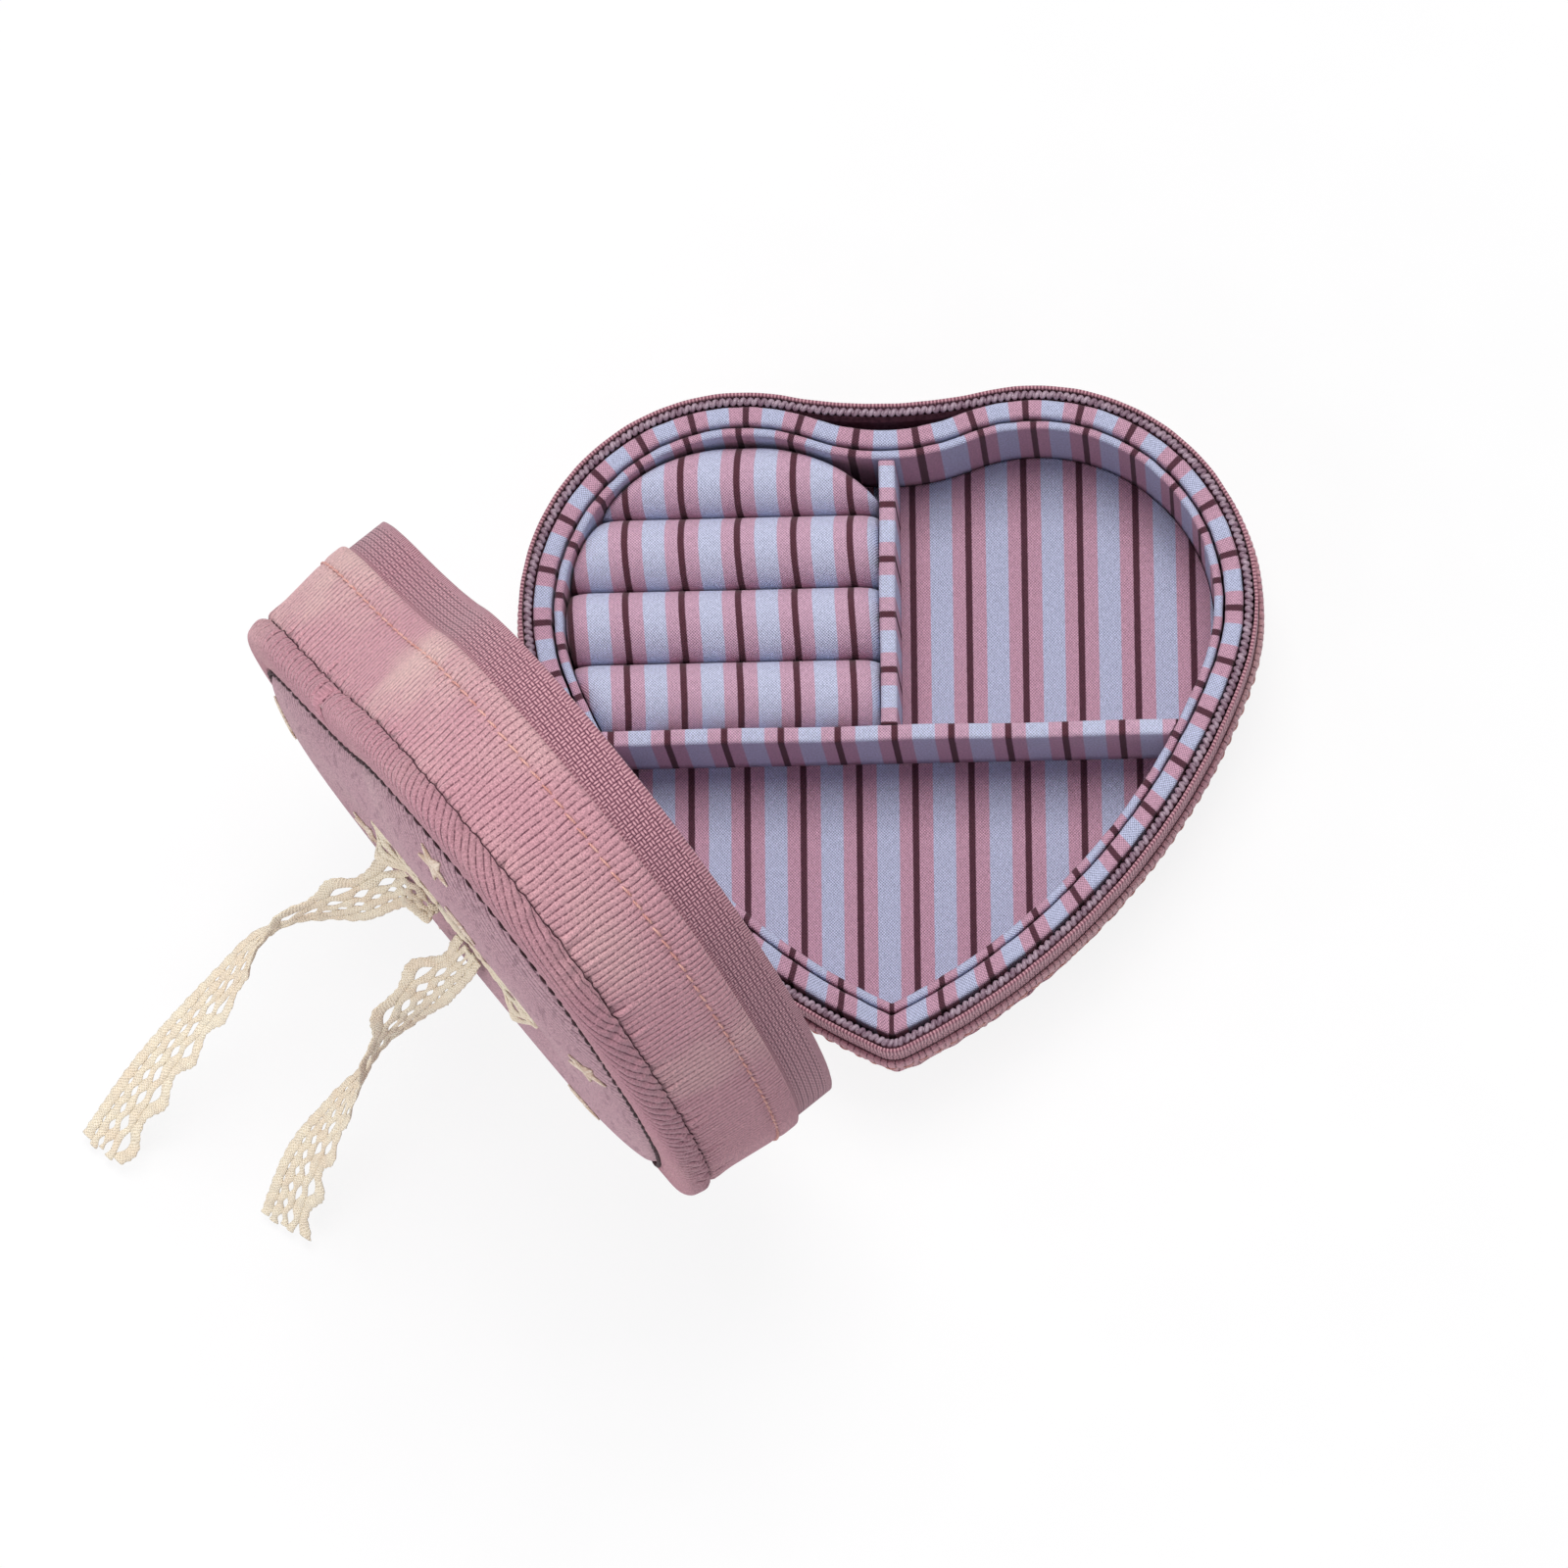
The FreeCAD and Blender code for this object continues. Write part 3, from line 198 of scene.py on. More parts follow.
def smooth_path(points: Array, count: int) -> tuple[Array, Array]:
    """Carry a Catmull-Rom curve through points, evenly spaced along its length.

    Args:
        points: control values, one row each; the first three columns give the place.
        count: how many rows to return.

    Returns:
        The sampled rows and their distances along the curve.
    """
    ends = np.vstack([2 * points[0] - points[1], points, 2 * points[-1] - points[-2]])
    fine = np.linspace(0, len(points) - 1, CURVE_STEPS * len(points))
    span = np.minimum(fine.astype(int), len(points) - 2)
    t = (fine - span)[:, None]
    p0, p1, p2, p3 = (ends[span + k] for k in range(4))
    curve = 0.5 * (2 * p1 + (p2 - p0) * t + (2 * p0 - 5 * p1 + 4 * p2 - p3) * t**2)
    curve += 0.5 * (3 * p1 - p0 - 3 * p2 + p3) * t**3
    reach = distances(curve[:, :3])
    even = np.linspace(0, reach[-1], count)
    rows = np.stack([np.interp(even, reach, column) for column in curve.T], axis=1)
    return rows, even


@dataclass(frozen=True)
class HeartOutline:
    """A heart of six tangent arcs, given by its radii and the depth of its point."""

    lobe: float
    flank: float
    notch: float
    tip: float
    depth: float

    def inset(self, amount: float) -> "HeartOutline":
        """Return the heart moved inwards by an amount, its point kept from vanishing."""
        spent = max(amount - (self.tip - LEAST_TIP), 0.0)
        tip = max(self.tip - amount, LEAST_TIP)
        depth = self.depth - TIP_RISE * spent
        return HeartOutline(self.lobe - amount, self.flank - amount, self.notch + amount, tip, depth)

    def arcs(self) -> Array:
        """Return the arcs in order round the heart from its point.

        Each flank's centre lies where its arc touches the lobe's and the point's, and the notch's where its
        arc touches both lobes.

        Returns:
            Rows of centre x, centre y, radius, first angle and last angle.
        """
        lobe = np.array([LOBE_X, LOBE_Y])
        tip = np.array([0.0, -self.depth])
        near, far = self.flank - self.lobe, self.flank - self.tip
        line = tip - lobe
        span = np.linalg.norm(line)
        line = line / span
        along = (near**2 - far**2 + span**2) / (2 * span)
        aside = math.sqrt(near**2 - along**2)
        flank = lobe + line * along + np.array([line[1], -line[0]]) * aside
        notch = np.array([0.0, LOBE_Y + math.sqrt((self.lobe + self.notch) ** 2 - LOBE_X**2)])
        low = math.atan2(*(tip - flank)[::-1])
        high = math.atan2(*(lobe - flank)[::-1])
        top = math.atan2(*(notch - lobe)[::-1])
        pi = math.pi
        rows = [
            (*tip, self.tip, -pi - low, low),
            (*flank, self.flank, low, high),
            (*lobe, self.lobe, high, top),
            (*notch, self.notch, top - pi, -top),
            (-lobe[0], lobe[1], self.lobe, pi - top, pi - high),
            (-flank[0], flank[1], self.flank, pi - high, pi - low),
        ]
        return np.array(rows)

    def arc_lengths(self) -> Array:
        """Return the length of each arc."""
        arcs = self.arcs()
        return arcs[:, 2] * np.abs(arcs[:, 4] - arcs[:, 3])

    def length(self) -> float:
        """Return the heart's length round."""
        return float(self.arc_lengths().sum())

    def points(self, stations: "Stations") -> Array:
        """Return the heart's points at stations, as rows of x and y."""
        arcs = self.arcs()[stations.arc]
        return arcs[:, :2] + arcs[:, 2:3] * direction(stations.angles(arcs))

    def loop(self, count: int = FINE_ROUND) -> Array:
        """Return points evenly spaced round the heart."""
        return self.points(Stations.even(self, count))

    def spans(self, across: Array) -> tuple[Array, Array]:
        """Return the lowest and highest y of the heart at each x."""
        loop = self.loop()
        first, last = int(loop[:, 0].argmax()), int(loop[:, 0].argmin())
        upper = loop[first : last + 1][::-1]
        lower = np.vstack([loop[last:], loop[: first + 1]])
        return np.interp(across, *lower.T), np.interp(across, *upper.T)

    def half_width(self, y: Array) -> Array:
        """Return half the heart's width at heights up to its lobes' middles."""
        loop = self.loop()
        right = loop[(loop[:, 0] > 0) & (loop[:, 1] <= LOBE_Y + 0.2)]
        order = np.argsort(right[:, 1])
        return np.interp(y, right[order, 1], right[order, 0])

    def left_lobe(self, y: Array) -> tuple[Array, Array]:
        """Return the lowest and highest x of the left lobe at heights: a circle's chords above its middle."""
        chord = np.sqrt(np.clip(self.lobe**2 - (y - LOBE_Y) ** 2, 0.05, None))
        west = np.where(y > LOBE_Y, -LOBE_X - chord, -self.half_width(y))
        east = np.where(y > LOBE_Y, -LOBE_X + chord, 0.0)
        return west, east


@dataclass(frozen=True)
class Stations:
    """Places round a heart: the arc of each, its share of that arc, and the distance round."""

    arc: Array
    share: Array
    along: Array
    length: float

    @staticmethod
    def even(outline: HeartOutline, count: int) -> "Stations":
        """Return stations evenly spaced round an outline, from the left side of its point."""
        return Stations.at(outline, np.arange(count) * (outline.length() / count))

    @staticmethod
    def at(outline: HeartOutline, along: Array) -> "Stations":
        """Return stations at distances round an outline."""
        lengths = outline.arc_lengths()
        starts = np.append(0.0, np.cumsum(lengths))
        wrapped = np.mod(along, starts[-1])
        arc = np.clip(np.searchsorted(starts, wrapped, side="right") - 1, 0, len(lengths) - 1)
        share = (wrapped - starts[arc]) / lengths[arc]
        return Stations(arc, share, along, float(starts[-1]))

    def angles(self, arcs: Array) -> Array:
        """Return the angle of each station on its own arc."""
        return arcs[:, 3] + self.share * (arcs[:, 4] - arcs[:, 3])

    def turn(self) -> Array:
        """Return each station's share of the way round."""
        return self.along / self.length

    def normals(self, outline: HeartOutline) -> Array:
        """Return the directions out of the heart; the notch's arc is hollow, so its own is turned."""
        sign = np.where(self.arc == NOTCH_ARC, -1.0, 1.0)
        return direction(self.angles(outline.arcs()[self.arc])) * sign[:, None]


SHELL = HeartOutline(lobe=45.9, flank=138.0, notch=100.0, tip=6.0, depth=61.5)
TRAY = HeartOutline(lobe=42.9, flank=135.0, notch=40.0, tip=1.5, depth=62.4)
WALES_ROUND = round(SHELL.length() / WALE_PITCH)


def ring_grid(outline: HeartOutline, stations: Stations, profile: Array, swell: Array) -> Array:
    """Carry a profile round a heart.

    Each profile row is a heart at that inset and height, and a swell pushes its points out of the heart.

    Args:
        outline: the heart that the insets start from.
        stations: places round it.
        profile: rows of inset and height.
        swell: distance outwards for each profile row and station.

    Returns:
        Points by profile row and station.
    """
    flat = np.stack([outline.inset(inset).points(stations) for inset in profile[:, 0]])
    return raised(flat + swell[..., None] * stations.normals(outline), profile[:, 1, None])


def ring_map(profile: Array, stations: Stations, length: float, period: float) -> Array:
    """Return a closed ring's cloth map: the distance round, eased to whole periods, and along its profile.

    Args:
        profile: rows of inset and height.
        stations: places round the heart.
        length: length of the cloth round.
        period: length of the cloth's pattern.

    Returns:
        Pairs by profile row and station, the first of each repeated at the end.
    """
    whole = round(length / period) * period
    along = np.append(stations.along, stations.length) * (whole / stations.length)
    return paired(along[None, :], distances(looped(profile, 0))[:, None])


def heart_columns(outline: HeartOutline, columns: int, rows: Array) -> Array:
    """Return a grid of x and y over a heart: columns across it, each split at shares of its height."""
    reach = outline.loop(700)[:, 0].max() - 0.12
    x = np.linspace(-reach, reach, columns)
    low, high = outline.spans(x)
    return paired(x[None, :], low[None, :] + rows[:, None] * (high - low)[None, :])


@dataclass
class Patch:
    """Part of a mesh: vertices, faces in groups of one corner count, and the cloth map at each corner."""

    verts: Array
    faces: list[Array]
    maps: list[Array]

    def on(self, body: Body) -> "Patch":
        """Return the patch where a body carries it: turned open on the lid."""
        return Patch(open_lid(self.verts), self.faces, self.maps) if body is Body.LID else self

    def signed_volume(self) -> float:
        """Return six times the volume inside the patch, negative where its faces point inwards."""
        total = 0.0
        for group in self.faces:
            corners = self.verts[group]
            total += float((corners[:, :1] * np.cross(corners[:, 1:-1], corners[:, 2:])).sum())
        return total


def patch_of(points: Array, cloth: Array, ring: bool = False) -> Patch:
    """Turn grids of points, each row closed, into quads.

    Args:
        points: one grid, or several of a size, by row and column.
        cloth: cloth map with one more column, and in a ring with one more row.
        ring: join the last row to the first, in place of a face on each.

    Returns:
        The closed patch.
    """
    if points.ndim == 3:
        points, cloth = points[None], cloth[None]
    many, rows, cols = points.shape[:3]
    a, b = np.meshgrid(np.arange(rows if ring else rows - 1), np.arange(cols), indexing="ij")
    corner_rows = np.stack([a, a, a + 1, a + 1], axis=-1).reshape(-1, 4)
    corner_cols = np.stack([b, b + 1, b + 1, b], axis=-1).reshape(-1, 4)
    offset = (np.arange(many) * rows * cols)[:, None, None]
    faces = [(corner_rows % rows * cols + corner_cols % cols + offset).reshape(-1, 4)]
    maps = [cloth[:, corner_rows, corner_cols].reshape(-1, 4, 2)]
    if not ring:
        rim = np.arange(cols)
        for row, order in ((0, rim[::-1]), (rows - 1, rim)):
            faces.append((row * cols + order + offset[:, 0]).reshape(-1, cols))
            maps.append(cloth[:, row, order].reshape(-1, cols, 2))
    return Patch(points.reshape(-1, 3), faces, maps)


def write_mesh(name: str, patches: list[Patch]) -> Thing:
    """Write closed patches as one mesh object with a cloth map, its faces outwards.

    Args:
        name: the piece's name.
        patches: closed patches in millimetres.

    Returns:
        The new object, linked to the scene.
    """
    verts, loops, sizes, maps = [], [], [], []
    start = 0
    for patch in patches:
        step = -1 if patch.signed_volume() < 0 else 1
        verts.append(patch.verts)
        for group, cloth in zip(patch.faces, patch.maps):
            loops.append((group[:, ::step] + start).ravel())
            sizes.append(np.full(len(group), group.shape[1]))
            maps.append(cloth[:, ::step].reshape(-1, 2))
        start += len(patch.verts)
    size = np.concatenate(sizes)
    loop = np.concatenate(loops)
    mesh = bpy.data.meshes.new(name)
    mesh.vertices.add(start)
    mesh.vertices.foreach_set("co", (np.vstack(verts) * MM).astype(np.float32).ravel())
    mesh.loops.add(len(loop))
    mesh.loops.foreach_set("vertex_index", loop.astype(np.int32))
    mesh.polygons.add(len(size))
    mesh.polygons.foreach_set("loop_start", np.concatenate([[0], np.cumsum(size)[:-1]]).astype(np.int32))
    mesh.polygons.foreach_set("use_smooth", np.ones(len(size), dtype=bool))
    layer = mesh.uv_layers.new(name="cloth")
    layer.data.foreach_set("uv", np.vstack(maps).astype(np.float32).ravel())
    mesh.update(calc_edges=True)
    mesh.validate()
    thing = bpy.data.objects.new(name, mesh)
    bpy.context.collection.objects.link(thing)
    return thing


def tube_patch(paths: Array, radii: Array, out: Array, sides: int, flat: float = 1.0) -> Patch:
    """Carry a round or flattened section along paths, with a cap at each end.

    A section is an ellipse across the path: its first axis lies along the path's side, its second out.

    Args:
        paths: places by path and station.
        radii: section radius by path and station.
        out: a direction out of the cloth for each path and station.
        sides: corners of a section.
        flat: the section's height as a share of its width.

    Returns:
        The patch of all tubes.
    """
    ahead = unit(np.gradient(paths, axis=1))
    side = unit(np.cross(ahead, out))
    outward = np.cross(side, ahead)
    turn = np.arange(sides) * 2 * math.pi / sides
    across = (np.cos(turn) * radii[..., None])[..., None] * side[:, :, None, :]
    proud = (np.sin(turn) * flat * radii[..., None])[..., None] * outward[:, :, None, :]
    points = paths[:, :, None, :] + across + proud
    steps = np.linalg.norm(np.diff(paths, axis=1), axis=2)
    reach = np.concatenate([np.zeros((len(paths), 1)), np.cumsum(steps, axis=1)], axis=1)
    around = np.arange(sides + 1) * (2 * math.pi / sides) * radii.mean()
    cloth = paired(reach[:, :, None], around[None, None, :])
    return patch_of(points, cloth)


class NodeSheet:
    """The nodes of a material or the world, added and linked with short calls."""

    START_SHADERS = ("BSDF_PRINCIPLED", "BACKGROUND")

    def __init__(self, owner: Material | bpy.types.World) -> None:
        """Turn on the owner's nodes and find the shader that it starts with."""
        owner.use_nodes = True
        self.owner = owner
        self.tree = owner.node_tree
        self.shader = next(node for node in self.tree.nodes if node.type in self.START_SHADERS)

    @staticmethod
    def named(name: str) -> "NodeSheet":
        """Return the sheet of a new material."""
        return NodeSheet(bpy.data.materials.new(name))

    def add(self, kind: str, **settings: object) -> bpy.types.Node:
        """Add a node and set its properties."""
        node = self.tree.nodes.new("ShaderNode" + kind)
        for key, setting in settings.items():
            setattr(node, key, setting)
        return node

    def feed(self, socket: Socket, source: object) -> None:
        """Link a socket to a source, or set its value."""
        if isinstance(source, Socket):
            self.tree.links.new(source, socket)
        elif isinstance(source, tuple) and len(source) == 3 and socket.type == "RGBA":
            socket.default_value = (*source, 1.0)
        else:
            socket.default_value = source

    def fed(self, node: bpy.types.Node, terms: tuple, inputs: tuple = (), output: int = 0) -> Socket:
        """Feed a node's inputs, the first ones or those asked for, and return one of its outputs."""
        sockets = [node.inputs[key] for key in inputs] if inputs else node.inputs
        for socket, term in zip(sockets, terms):
            self.feed(socket, term)
        return node.outputs[output]

    def math(self, operation: str, *terms: object) -> Socket:
        """Return a math node's result."""
        return self.fed(self.add("Math", operation=operation), terms)

    def times(self, first: object, second: object) -> Socket:
        """Return two terms multiplied."""
        return self.math("MULTIPLY", first, second)

    def plus(self, first: object, second: object) -> Socket:
        """Return two terms added."""
        return self.math("ADD", first, second)

    def sine(self, source: Socket, period: float) -> Socket:
        """Return the sine of a distance with a period."""
        return self.math("SINE", self.times(source, 2 * math.pi / period))

    def cloth(self) -> tuple[Socket, Socket]:
        """Return the two distances of the piece's cloth map."""
        split = self.add("SeparateXYZ")
        self.feed(split.inputs[0], self.add("UVMap", uv_map="cloth").outputs[0])
        return split.outputs[0], split.outputs[1]

    def place(self) -> Socket:
        """Return the place on the piece, in metres."""
        return self.add("TexCoord").outputs["Object"]

    def vector(self, x: object, y: object, z: object = 0.0) -> Socket:
        """Return a vector of three terms."""
        return self.fed(self.add("CombineXYZ"), (x, y, z))

    def stretched(self, where: Socket, scale: tuple[float, float, float]) -> Socket:
        """Return a place scaled along each axis."""
        return self.fed(self.add("Mapping"), (where, scale), ("Vector", "Scale"))

    def noise(self, where: Socket, scale: float, detail: float = 2.0) -> Socket:
        """Return a noise between 0 and 1."""
        return self.fed(self.add("TexNoise"), (where, scale, detail), ("Vector", "Scale", "Detail"))

    def remap(
        self, source: Socket, low: float, high: float, to_low: float = 0.0, to_high: float = 1.0
    ) -> Socket:
        """Return a source mapped smoothly from one range to another."""
        node = self.add("MapRange", interpolation_type="SMOOTHSTEP")
        return self.fed(node, (source, low, high, to_low, to_high))

    def mix(self, share: object, first: object, second: object, blend: str = "MIX") -> Socket:
        """Return two colours mixed by a share."""
        node = self.add("Mix", data_type="RGBA", blend_type=blend)
        return self.fed(node, (share, first, second), (0, 6, 7), 2)

    def ramp(self, source: Socket, stops: list[tuple[float, tuple]]) -> Socket:
        """Return colours along a ramp of stops."""
        node = self.add("ValToRGB")
        elements = node.color_ramp.elements
        for _ in range(len(stops) - 2):
            elements.new(0.5)
        for element, (position, colour) in zip(elements, stops):
            element.position = position
            element.color = (*colour, 1.0)
        return self.fed(node, (source,))

    def bump(self, height: Socket, distance: float) -> None:
        """Lay a height over the shader's normal, or over the bump laid before it."""
        node = self.add("Bump")
        node.inputs["Strength"].default_value = 1.0
        node.inputs["Distance"].default_value = distance * MM
        self.feed(node.inputs["Height"], height)
        normal = self.shader.inputs["Normal"]
        if normal.links:
            self.feed(node.inputs["Normal"], normal.links[0].from_socket)
        self.feed(normal, node.outputs[0])

    def surface(self, colour: object, roughness: object, **constants: object) -> Material:
        """Set the shader's colour, roughness and constant sockets, and return the material."""
        self.feed(self.shader.inputs["Base Color"], colour)
        self.feed(self.shader.inputs["Roughness"], roughness)
        for name, constant in constants.items():
            self.feed(self.shader.inputs[name.replace("_", " ")], constant)
        return self.owner

    def show_to_camera(self, share: float, kind: str, output: str) -> None:
        """Show the camera a bright shader, straight, mirrored or through, and all other rays the own one.

        Args:
            share: how much of the bright shader the camera sees.
            kind: the bright shader's node.
            output: name of the output node.
        """
        path = self.add("LightPath")
        seen = self.math("MAXIMUM", path.outputs["Is Camera Ray"], path.outputs["Is Glossy Ray"])
        seen = self.math("MAXIMUM", seen, path.outputs["Is Transmission Ray"])
        bright = self.fed(self.add(kind), ((1.0, 1.0, 1.0), 1.0), ("Color", "Strength"))
        terms = (self.times(seen, share), self.shader.outputs[0], bright)
        blend = self.fed(self.add("MixShader"), terms)
        self.feed(self.tree.nodes[output].inputs["Surface"], blend)


def rgb(code: str) -> tuple[float, float, float]:
    """Return a screen colour code as linear light."""
    parts = (int(code[k : k + 2], 16) / 255 for k in (0, 2, 4))
    return tuple(p / 12.92 if p <= 0.04045 else ((p + 0.055) / 1.055) ** 2.4 for p in parts)


@dataclass(frozen=True)
class Needlecord:
    """Needlecord: ridges along the cloth, painted shade in its broken grooves, and a pile brushed paler in
    spots.

    A brushed spot is its middle and its reach, in metres.
    """

    name: str = "needlecord"
    pile: str = "C8969F"
    brushed: str = "DCBBB5"
    # groove: painted shade for the grooves between the wales; the dark flecks use it too
    groove: str = "5A3040"
    ridge_bump: float = 0.12
    fuzz_bump: float = 0.22
    grain_bump: float = 0.12
    depth: float = 0.85
    brushed_depth: float = 0.65
    flecks: float = 0.0
    row_step: float = 7.31
    spots: tuple[tuple[float, float, float, float], ...] = (
        (-0.101, 0.018, 0.110, 0.021),
        (-0.083, -0.013, 0.158, 0.016),
        (-0.117, 0.015, 0.071, 0.020),
    )

    def brushing(self, sheet: NodeSheet, place: Socket) -> Socket:
        """Return how far the pile is brushed over: broad noise, or nearness to one of the brushed spots."""
        uneven = sheet.noise(place, 90.0, 3.0)
        lie = sheet.remap(sheet.noise(place, 30.0, 3.0), 0.46, 0.72, 0.0, 0.4)
        for *centre, reach in self.spots:
            node = sheet.add("VectorMath", operation="DISTANCE")
            sheet.fed(node, (place, tuple(centre)))
            ragged = sheet.remap(uneven, 0.2, 0.8, -0.3 * reach, 0.3 * reach)
            gap = sheet.plus(node.outputs["Value"], ragged)
            lie = sheet.math("MAXIMUM", lie, sheet.remap(gap, 0.1 * reach, 1.2 * reach, 0.75, 0.0))
        return lie

    def grooves(self, sheet: NodeSheet, ridge: Socket, along: Socket, across: Socket) -> Socket:
        """Return the painted shade between the wales: low ridge height, broken by a noise along each row."""
        row = sheet.math("ROUND", sheet.math("DIVIDE", along, WALE_PITCH))
        dash = sheet.noise(sheet.vector(sheet.times(row, self.row_step), across), 1.5, 3.0)
        broken = sheet.remap(dash, 0.36, 0.56, 0.15, 1.0)
        return sheet.times(sheet.remap(ridge, 0.3, 0.66, 1.0, 0.0), broken)

    def make(self) -> Material:
        """Return the material: colour from the pile's lie, painted shade in lines where the ridge is low."""
        sheet = NodeSheet.named(self.name)
        along, across = sheet.cloth()
        place = sheet.place()
        wave = sheet.sine(along, 2 * WALE_PITCH)
        ridge = sheet.math("POWER", sheet.math("ABSOLUTE", wave), WALE_POWER)
        lie = self.brushing(sheet, place)
        fuzz = sheet.noise(sheet.vector(along, across), 2.1, 4.0)
        grain = sheet.noise(sheet.vector(along, across), 4.6, 2.0)
        shade = sheet.times(
            sheet.remap(fuzz, 0.25, 0.75, 0.72, 1.2),
            sheet.remap(grain, 0.25, 0.75, 0.76, 1.2),
        )
        pile = sheet.mix(lie, rgb(self.pile), rgb(self.brushed))
        pile = sheet.mix(1.0, pile, sheet.vector(shade, shade, shade), "MULTIPLY")
        groove_shade_strength = sheet.remap(lie, 0.3, 1.0, self.depth, self.brushed_depth * self.depth)
        line = self.grooves(sheet, ridge, along, across)
        # Painted shade: the groove colour darkens the pile where the ridge height is low, less where it is
        # brushed.
        colour = sheet.mix(sheet.times(line, groove_shade_strength), pile, rgb(self.groove))
        if self.flecks:
            fleck = sheet.remap(sheet.noise(sheet.stretched(place, (1.0, 1.0, 0.3)), 620.0), 0.56, 0.68)
            colour = sheet.mix(sheet.times(fleck, self.flecks), colour, rgb(self.groove))
        sheet.bump(ridge, self.ridge_bump)
        sheet.bump(fuzz, self.fuzz_bump)
        sheet.bump(grain, self.grain_bump)
        sheen = {"Sheen_Weight": 0.3, "Sheen_Roughness": 0.45, "Sheen_Tint": (0.95, 0.84, 0.84)}
        return sheet.surface(colour, 0.92, Specular_IOR_Level=0.15, **sheen)


@dataclass(frozen=True)
class ZipTape:
    """Woven zip tape: a basket weave of paired threads, finer ribs along its edges."""

    name: str = "zip_tape_weave"
    ground: str = "986573"
    thread: str = "D4A3AB"
    # gap and thread: painted shade between the threads and painted light on their crests
    gap: str = "4E2A39"
    rib_pitch: float = 0.75
    inner_edge: float = 1.5
    outer_edge: float = 8.6
    edge_blend: float = 0.2
    wear: float = 0.5
    bump: float = 0.16

    def basket(self, sheet: NodeSheet, along: Socket, across: Socket) -> Socket:
        """Return the weave's height: paired threads, arched along their cell, that turn from cell to cell."""
        column = sheet.math("DIVIDE", along, TAPE_CELL)
        row = sheet.math("DIVIDE", across, TAPE_CELL)
        cells = sheet.plus(sheet.math("FLOOR", column), sheet.math("FLOOR", row))
        turned = sheet.times(sheet.math("FRACT", sheet.times(cells, 0.5)), 2.0)
        kept = sheet.math("SUBTRACT", 1.0, turned)
        a, b = sheet.math("FRACT", column), sheet.math("FRACT", row)
        side = sheet.plus(sheet.times(a, turned), sheet.times(b, kept))
        ahead = sheet.plus(sheet.times(b, turned), sheet.times(a, kept))
        thread = sheet.math("ABSOLUTE", sheet.sine(side, 1.0))
        arch = sheet.sine(ahead, 2.0)
        return sheet.times(thread, sheet.math("POWER", arch, 0.5))

    def make(self) -> Material:
        """Return the material: the noise-worn basket weave, ribbed edges, painted darker low and lighter
        high.
        """
        sheet = NodeSheet.named(self.name)
        along, across = sheet.cloth()
        basket = self.basket(sheet, along, across)
        rib = sheet.remap(sheet.sine(along, self.rib_pitch), -1.0, 1.0, 0.25, 0.85)
        inner = sheet.remap(across, self.inner_edge, self.inner_edge + self.edge_blend)
        outer = sheet.remap(across, self.outer_edge, self.outer_edge + self.edge_blend, 1.0, 0.0)
        middle = sheet.times(inner, outer)
        edge = sheet.times(rib, sheet.math("SUBTRACT", 1.0, middle))
        height = sheet.plus(sheet.times(basket, middle), edge)
        worn = sheet.noise(sheet.vector(along, across), 1.4, 3.0)
        height = sheet.plus(height, sheet.times(sheet.math("SUBTRACT", worn, 0.5), self.wear))
        # Painted shade and light: the colour runs from the gap colour low in the weave to the thread colour
        # on its crests.
        dark = sheet.mix(sheet.remap(height, 0.05, 0.4), rgb(self.gap), rgb(self.ground))
        colour = sheet.mix(sheet.remap(height, 0.45, 0.95), dark, rgb(self.thread))
        sheet.bump(height, self.bump)
        return sheet.surface(colour, 0.75, Sheen_Weight=0.15, Sheen_Roughness=0.5, Specular_IOR_Level=0.25)


@dataclass(frozen=True)
class StripedCotton:
    """Plain-weave cotton with a dark line, pink, blue and pink across each stripe."""

    name: str = "striped_cotton"
    line: str = "57333F"
    pink: str = "CB9EB2"
    blue: str = "C0C6E1"
    thread: float = 0.62
    weave_light: float = 0.4
    sway: float = 0.14

    def make(self) -> Material:
        """Return the material: a ramp across each stripe period, with crossing threads over it."""
        sheet = NodeSheet.named(self.name)
        along, across = sheet.cloth()
        drift = sheet.math("SUBTRACT", sheet.noise(sheet.vector(along, across), 0.35, 2.0), 0.5)
        shifted = sheet.plus(along, sheet.times(drift, self.sway))
        share = sheet.math("FRACT", sheet.math("DIVIDE", shifted, STRIPE_PERIOD))
        line, pink, blue = rgb(self.line), rgb(self.pink), rgb(self.blue)
        stops = [(0.0, line), (0.1, line), (0.12, pink), (0.352, pink), (0.368, blue)]
        stops += [(0.752, blue), (0.768, pink), (0.985, pink), (1.0, line)]
        stripe = sheet.ramp(share, stops)
        weave = sheet.times(sheet.sine(along, self.thread), sheet.sine(across, self.thread))
        slub = sheet.noise(sheet.vector(sheet.times(along, 3.0), across), 0.8, 4.0)
        speck = sheet.noise(sheet.vector(along, across), 2.4, 3.0)
        light = sheet.plus(sheet.times(weave, self.weave_light), sheet.remap(slub, 0.3, 0.7, 0.9, 1.08))
        light = sheet.times(light, sheet.remap(speck, 0.3, 0.7, 0.88, 1.06))
        colour = sheet.mix(1.0, stripe, sheet.vector(light, light, light), "MULTIPLY")
        sheet.bump(weave, 0.08)
        sheet.bump(slub, 0.06)
        return sheet.surface(colour, 0.88, Sheen_Weight=0.1, Sheen_Roughness=0.5, Specular_IOR_Level=0.2)


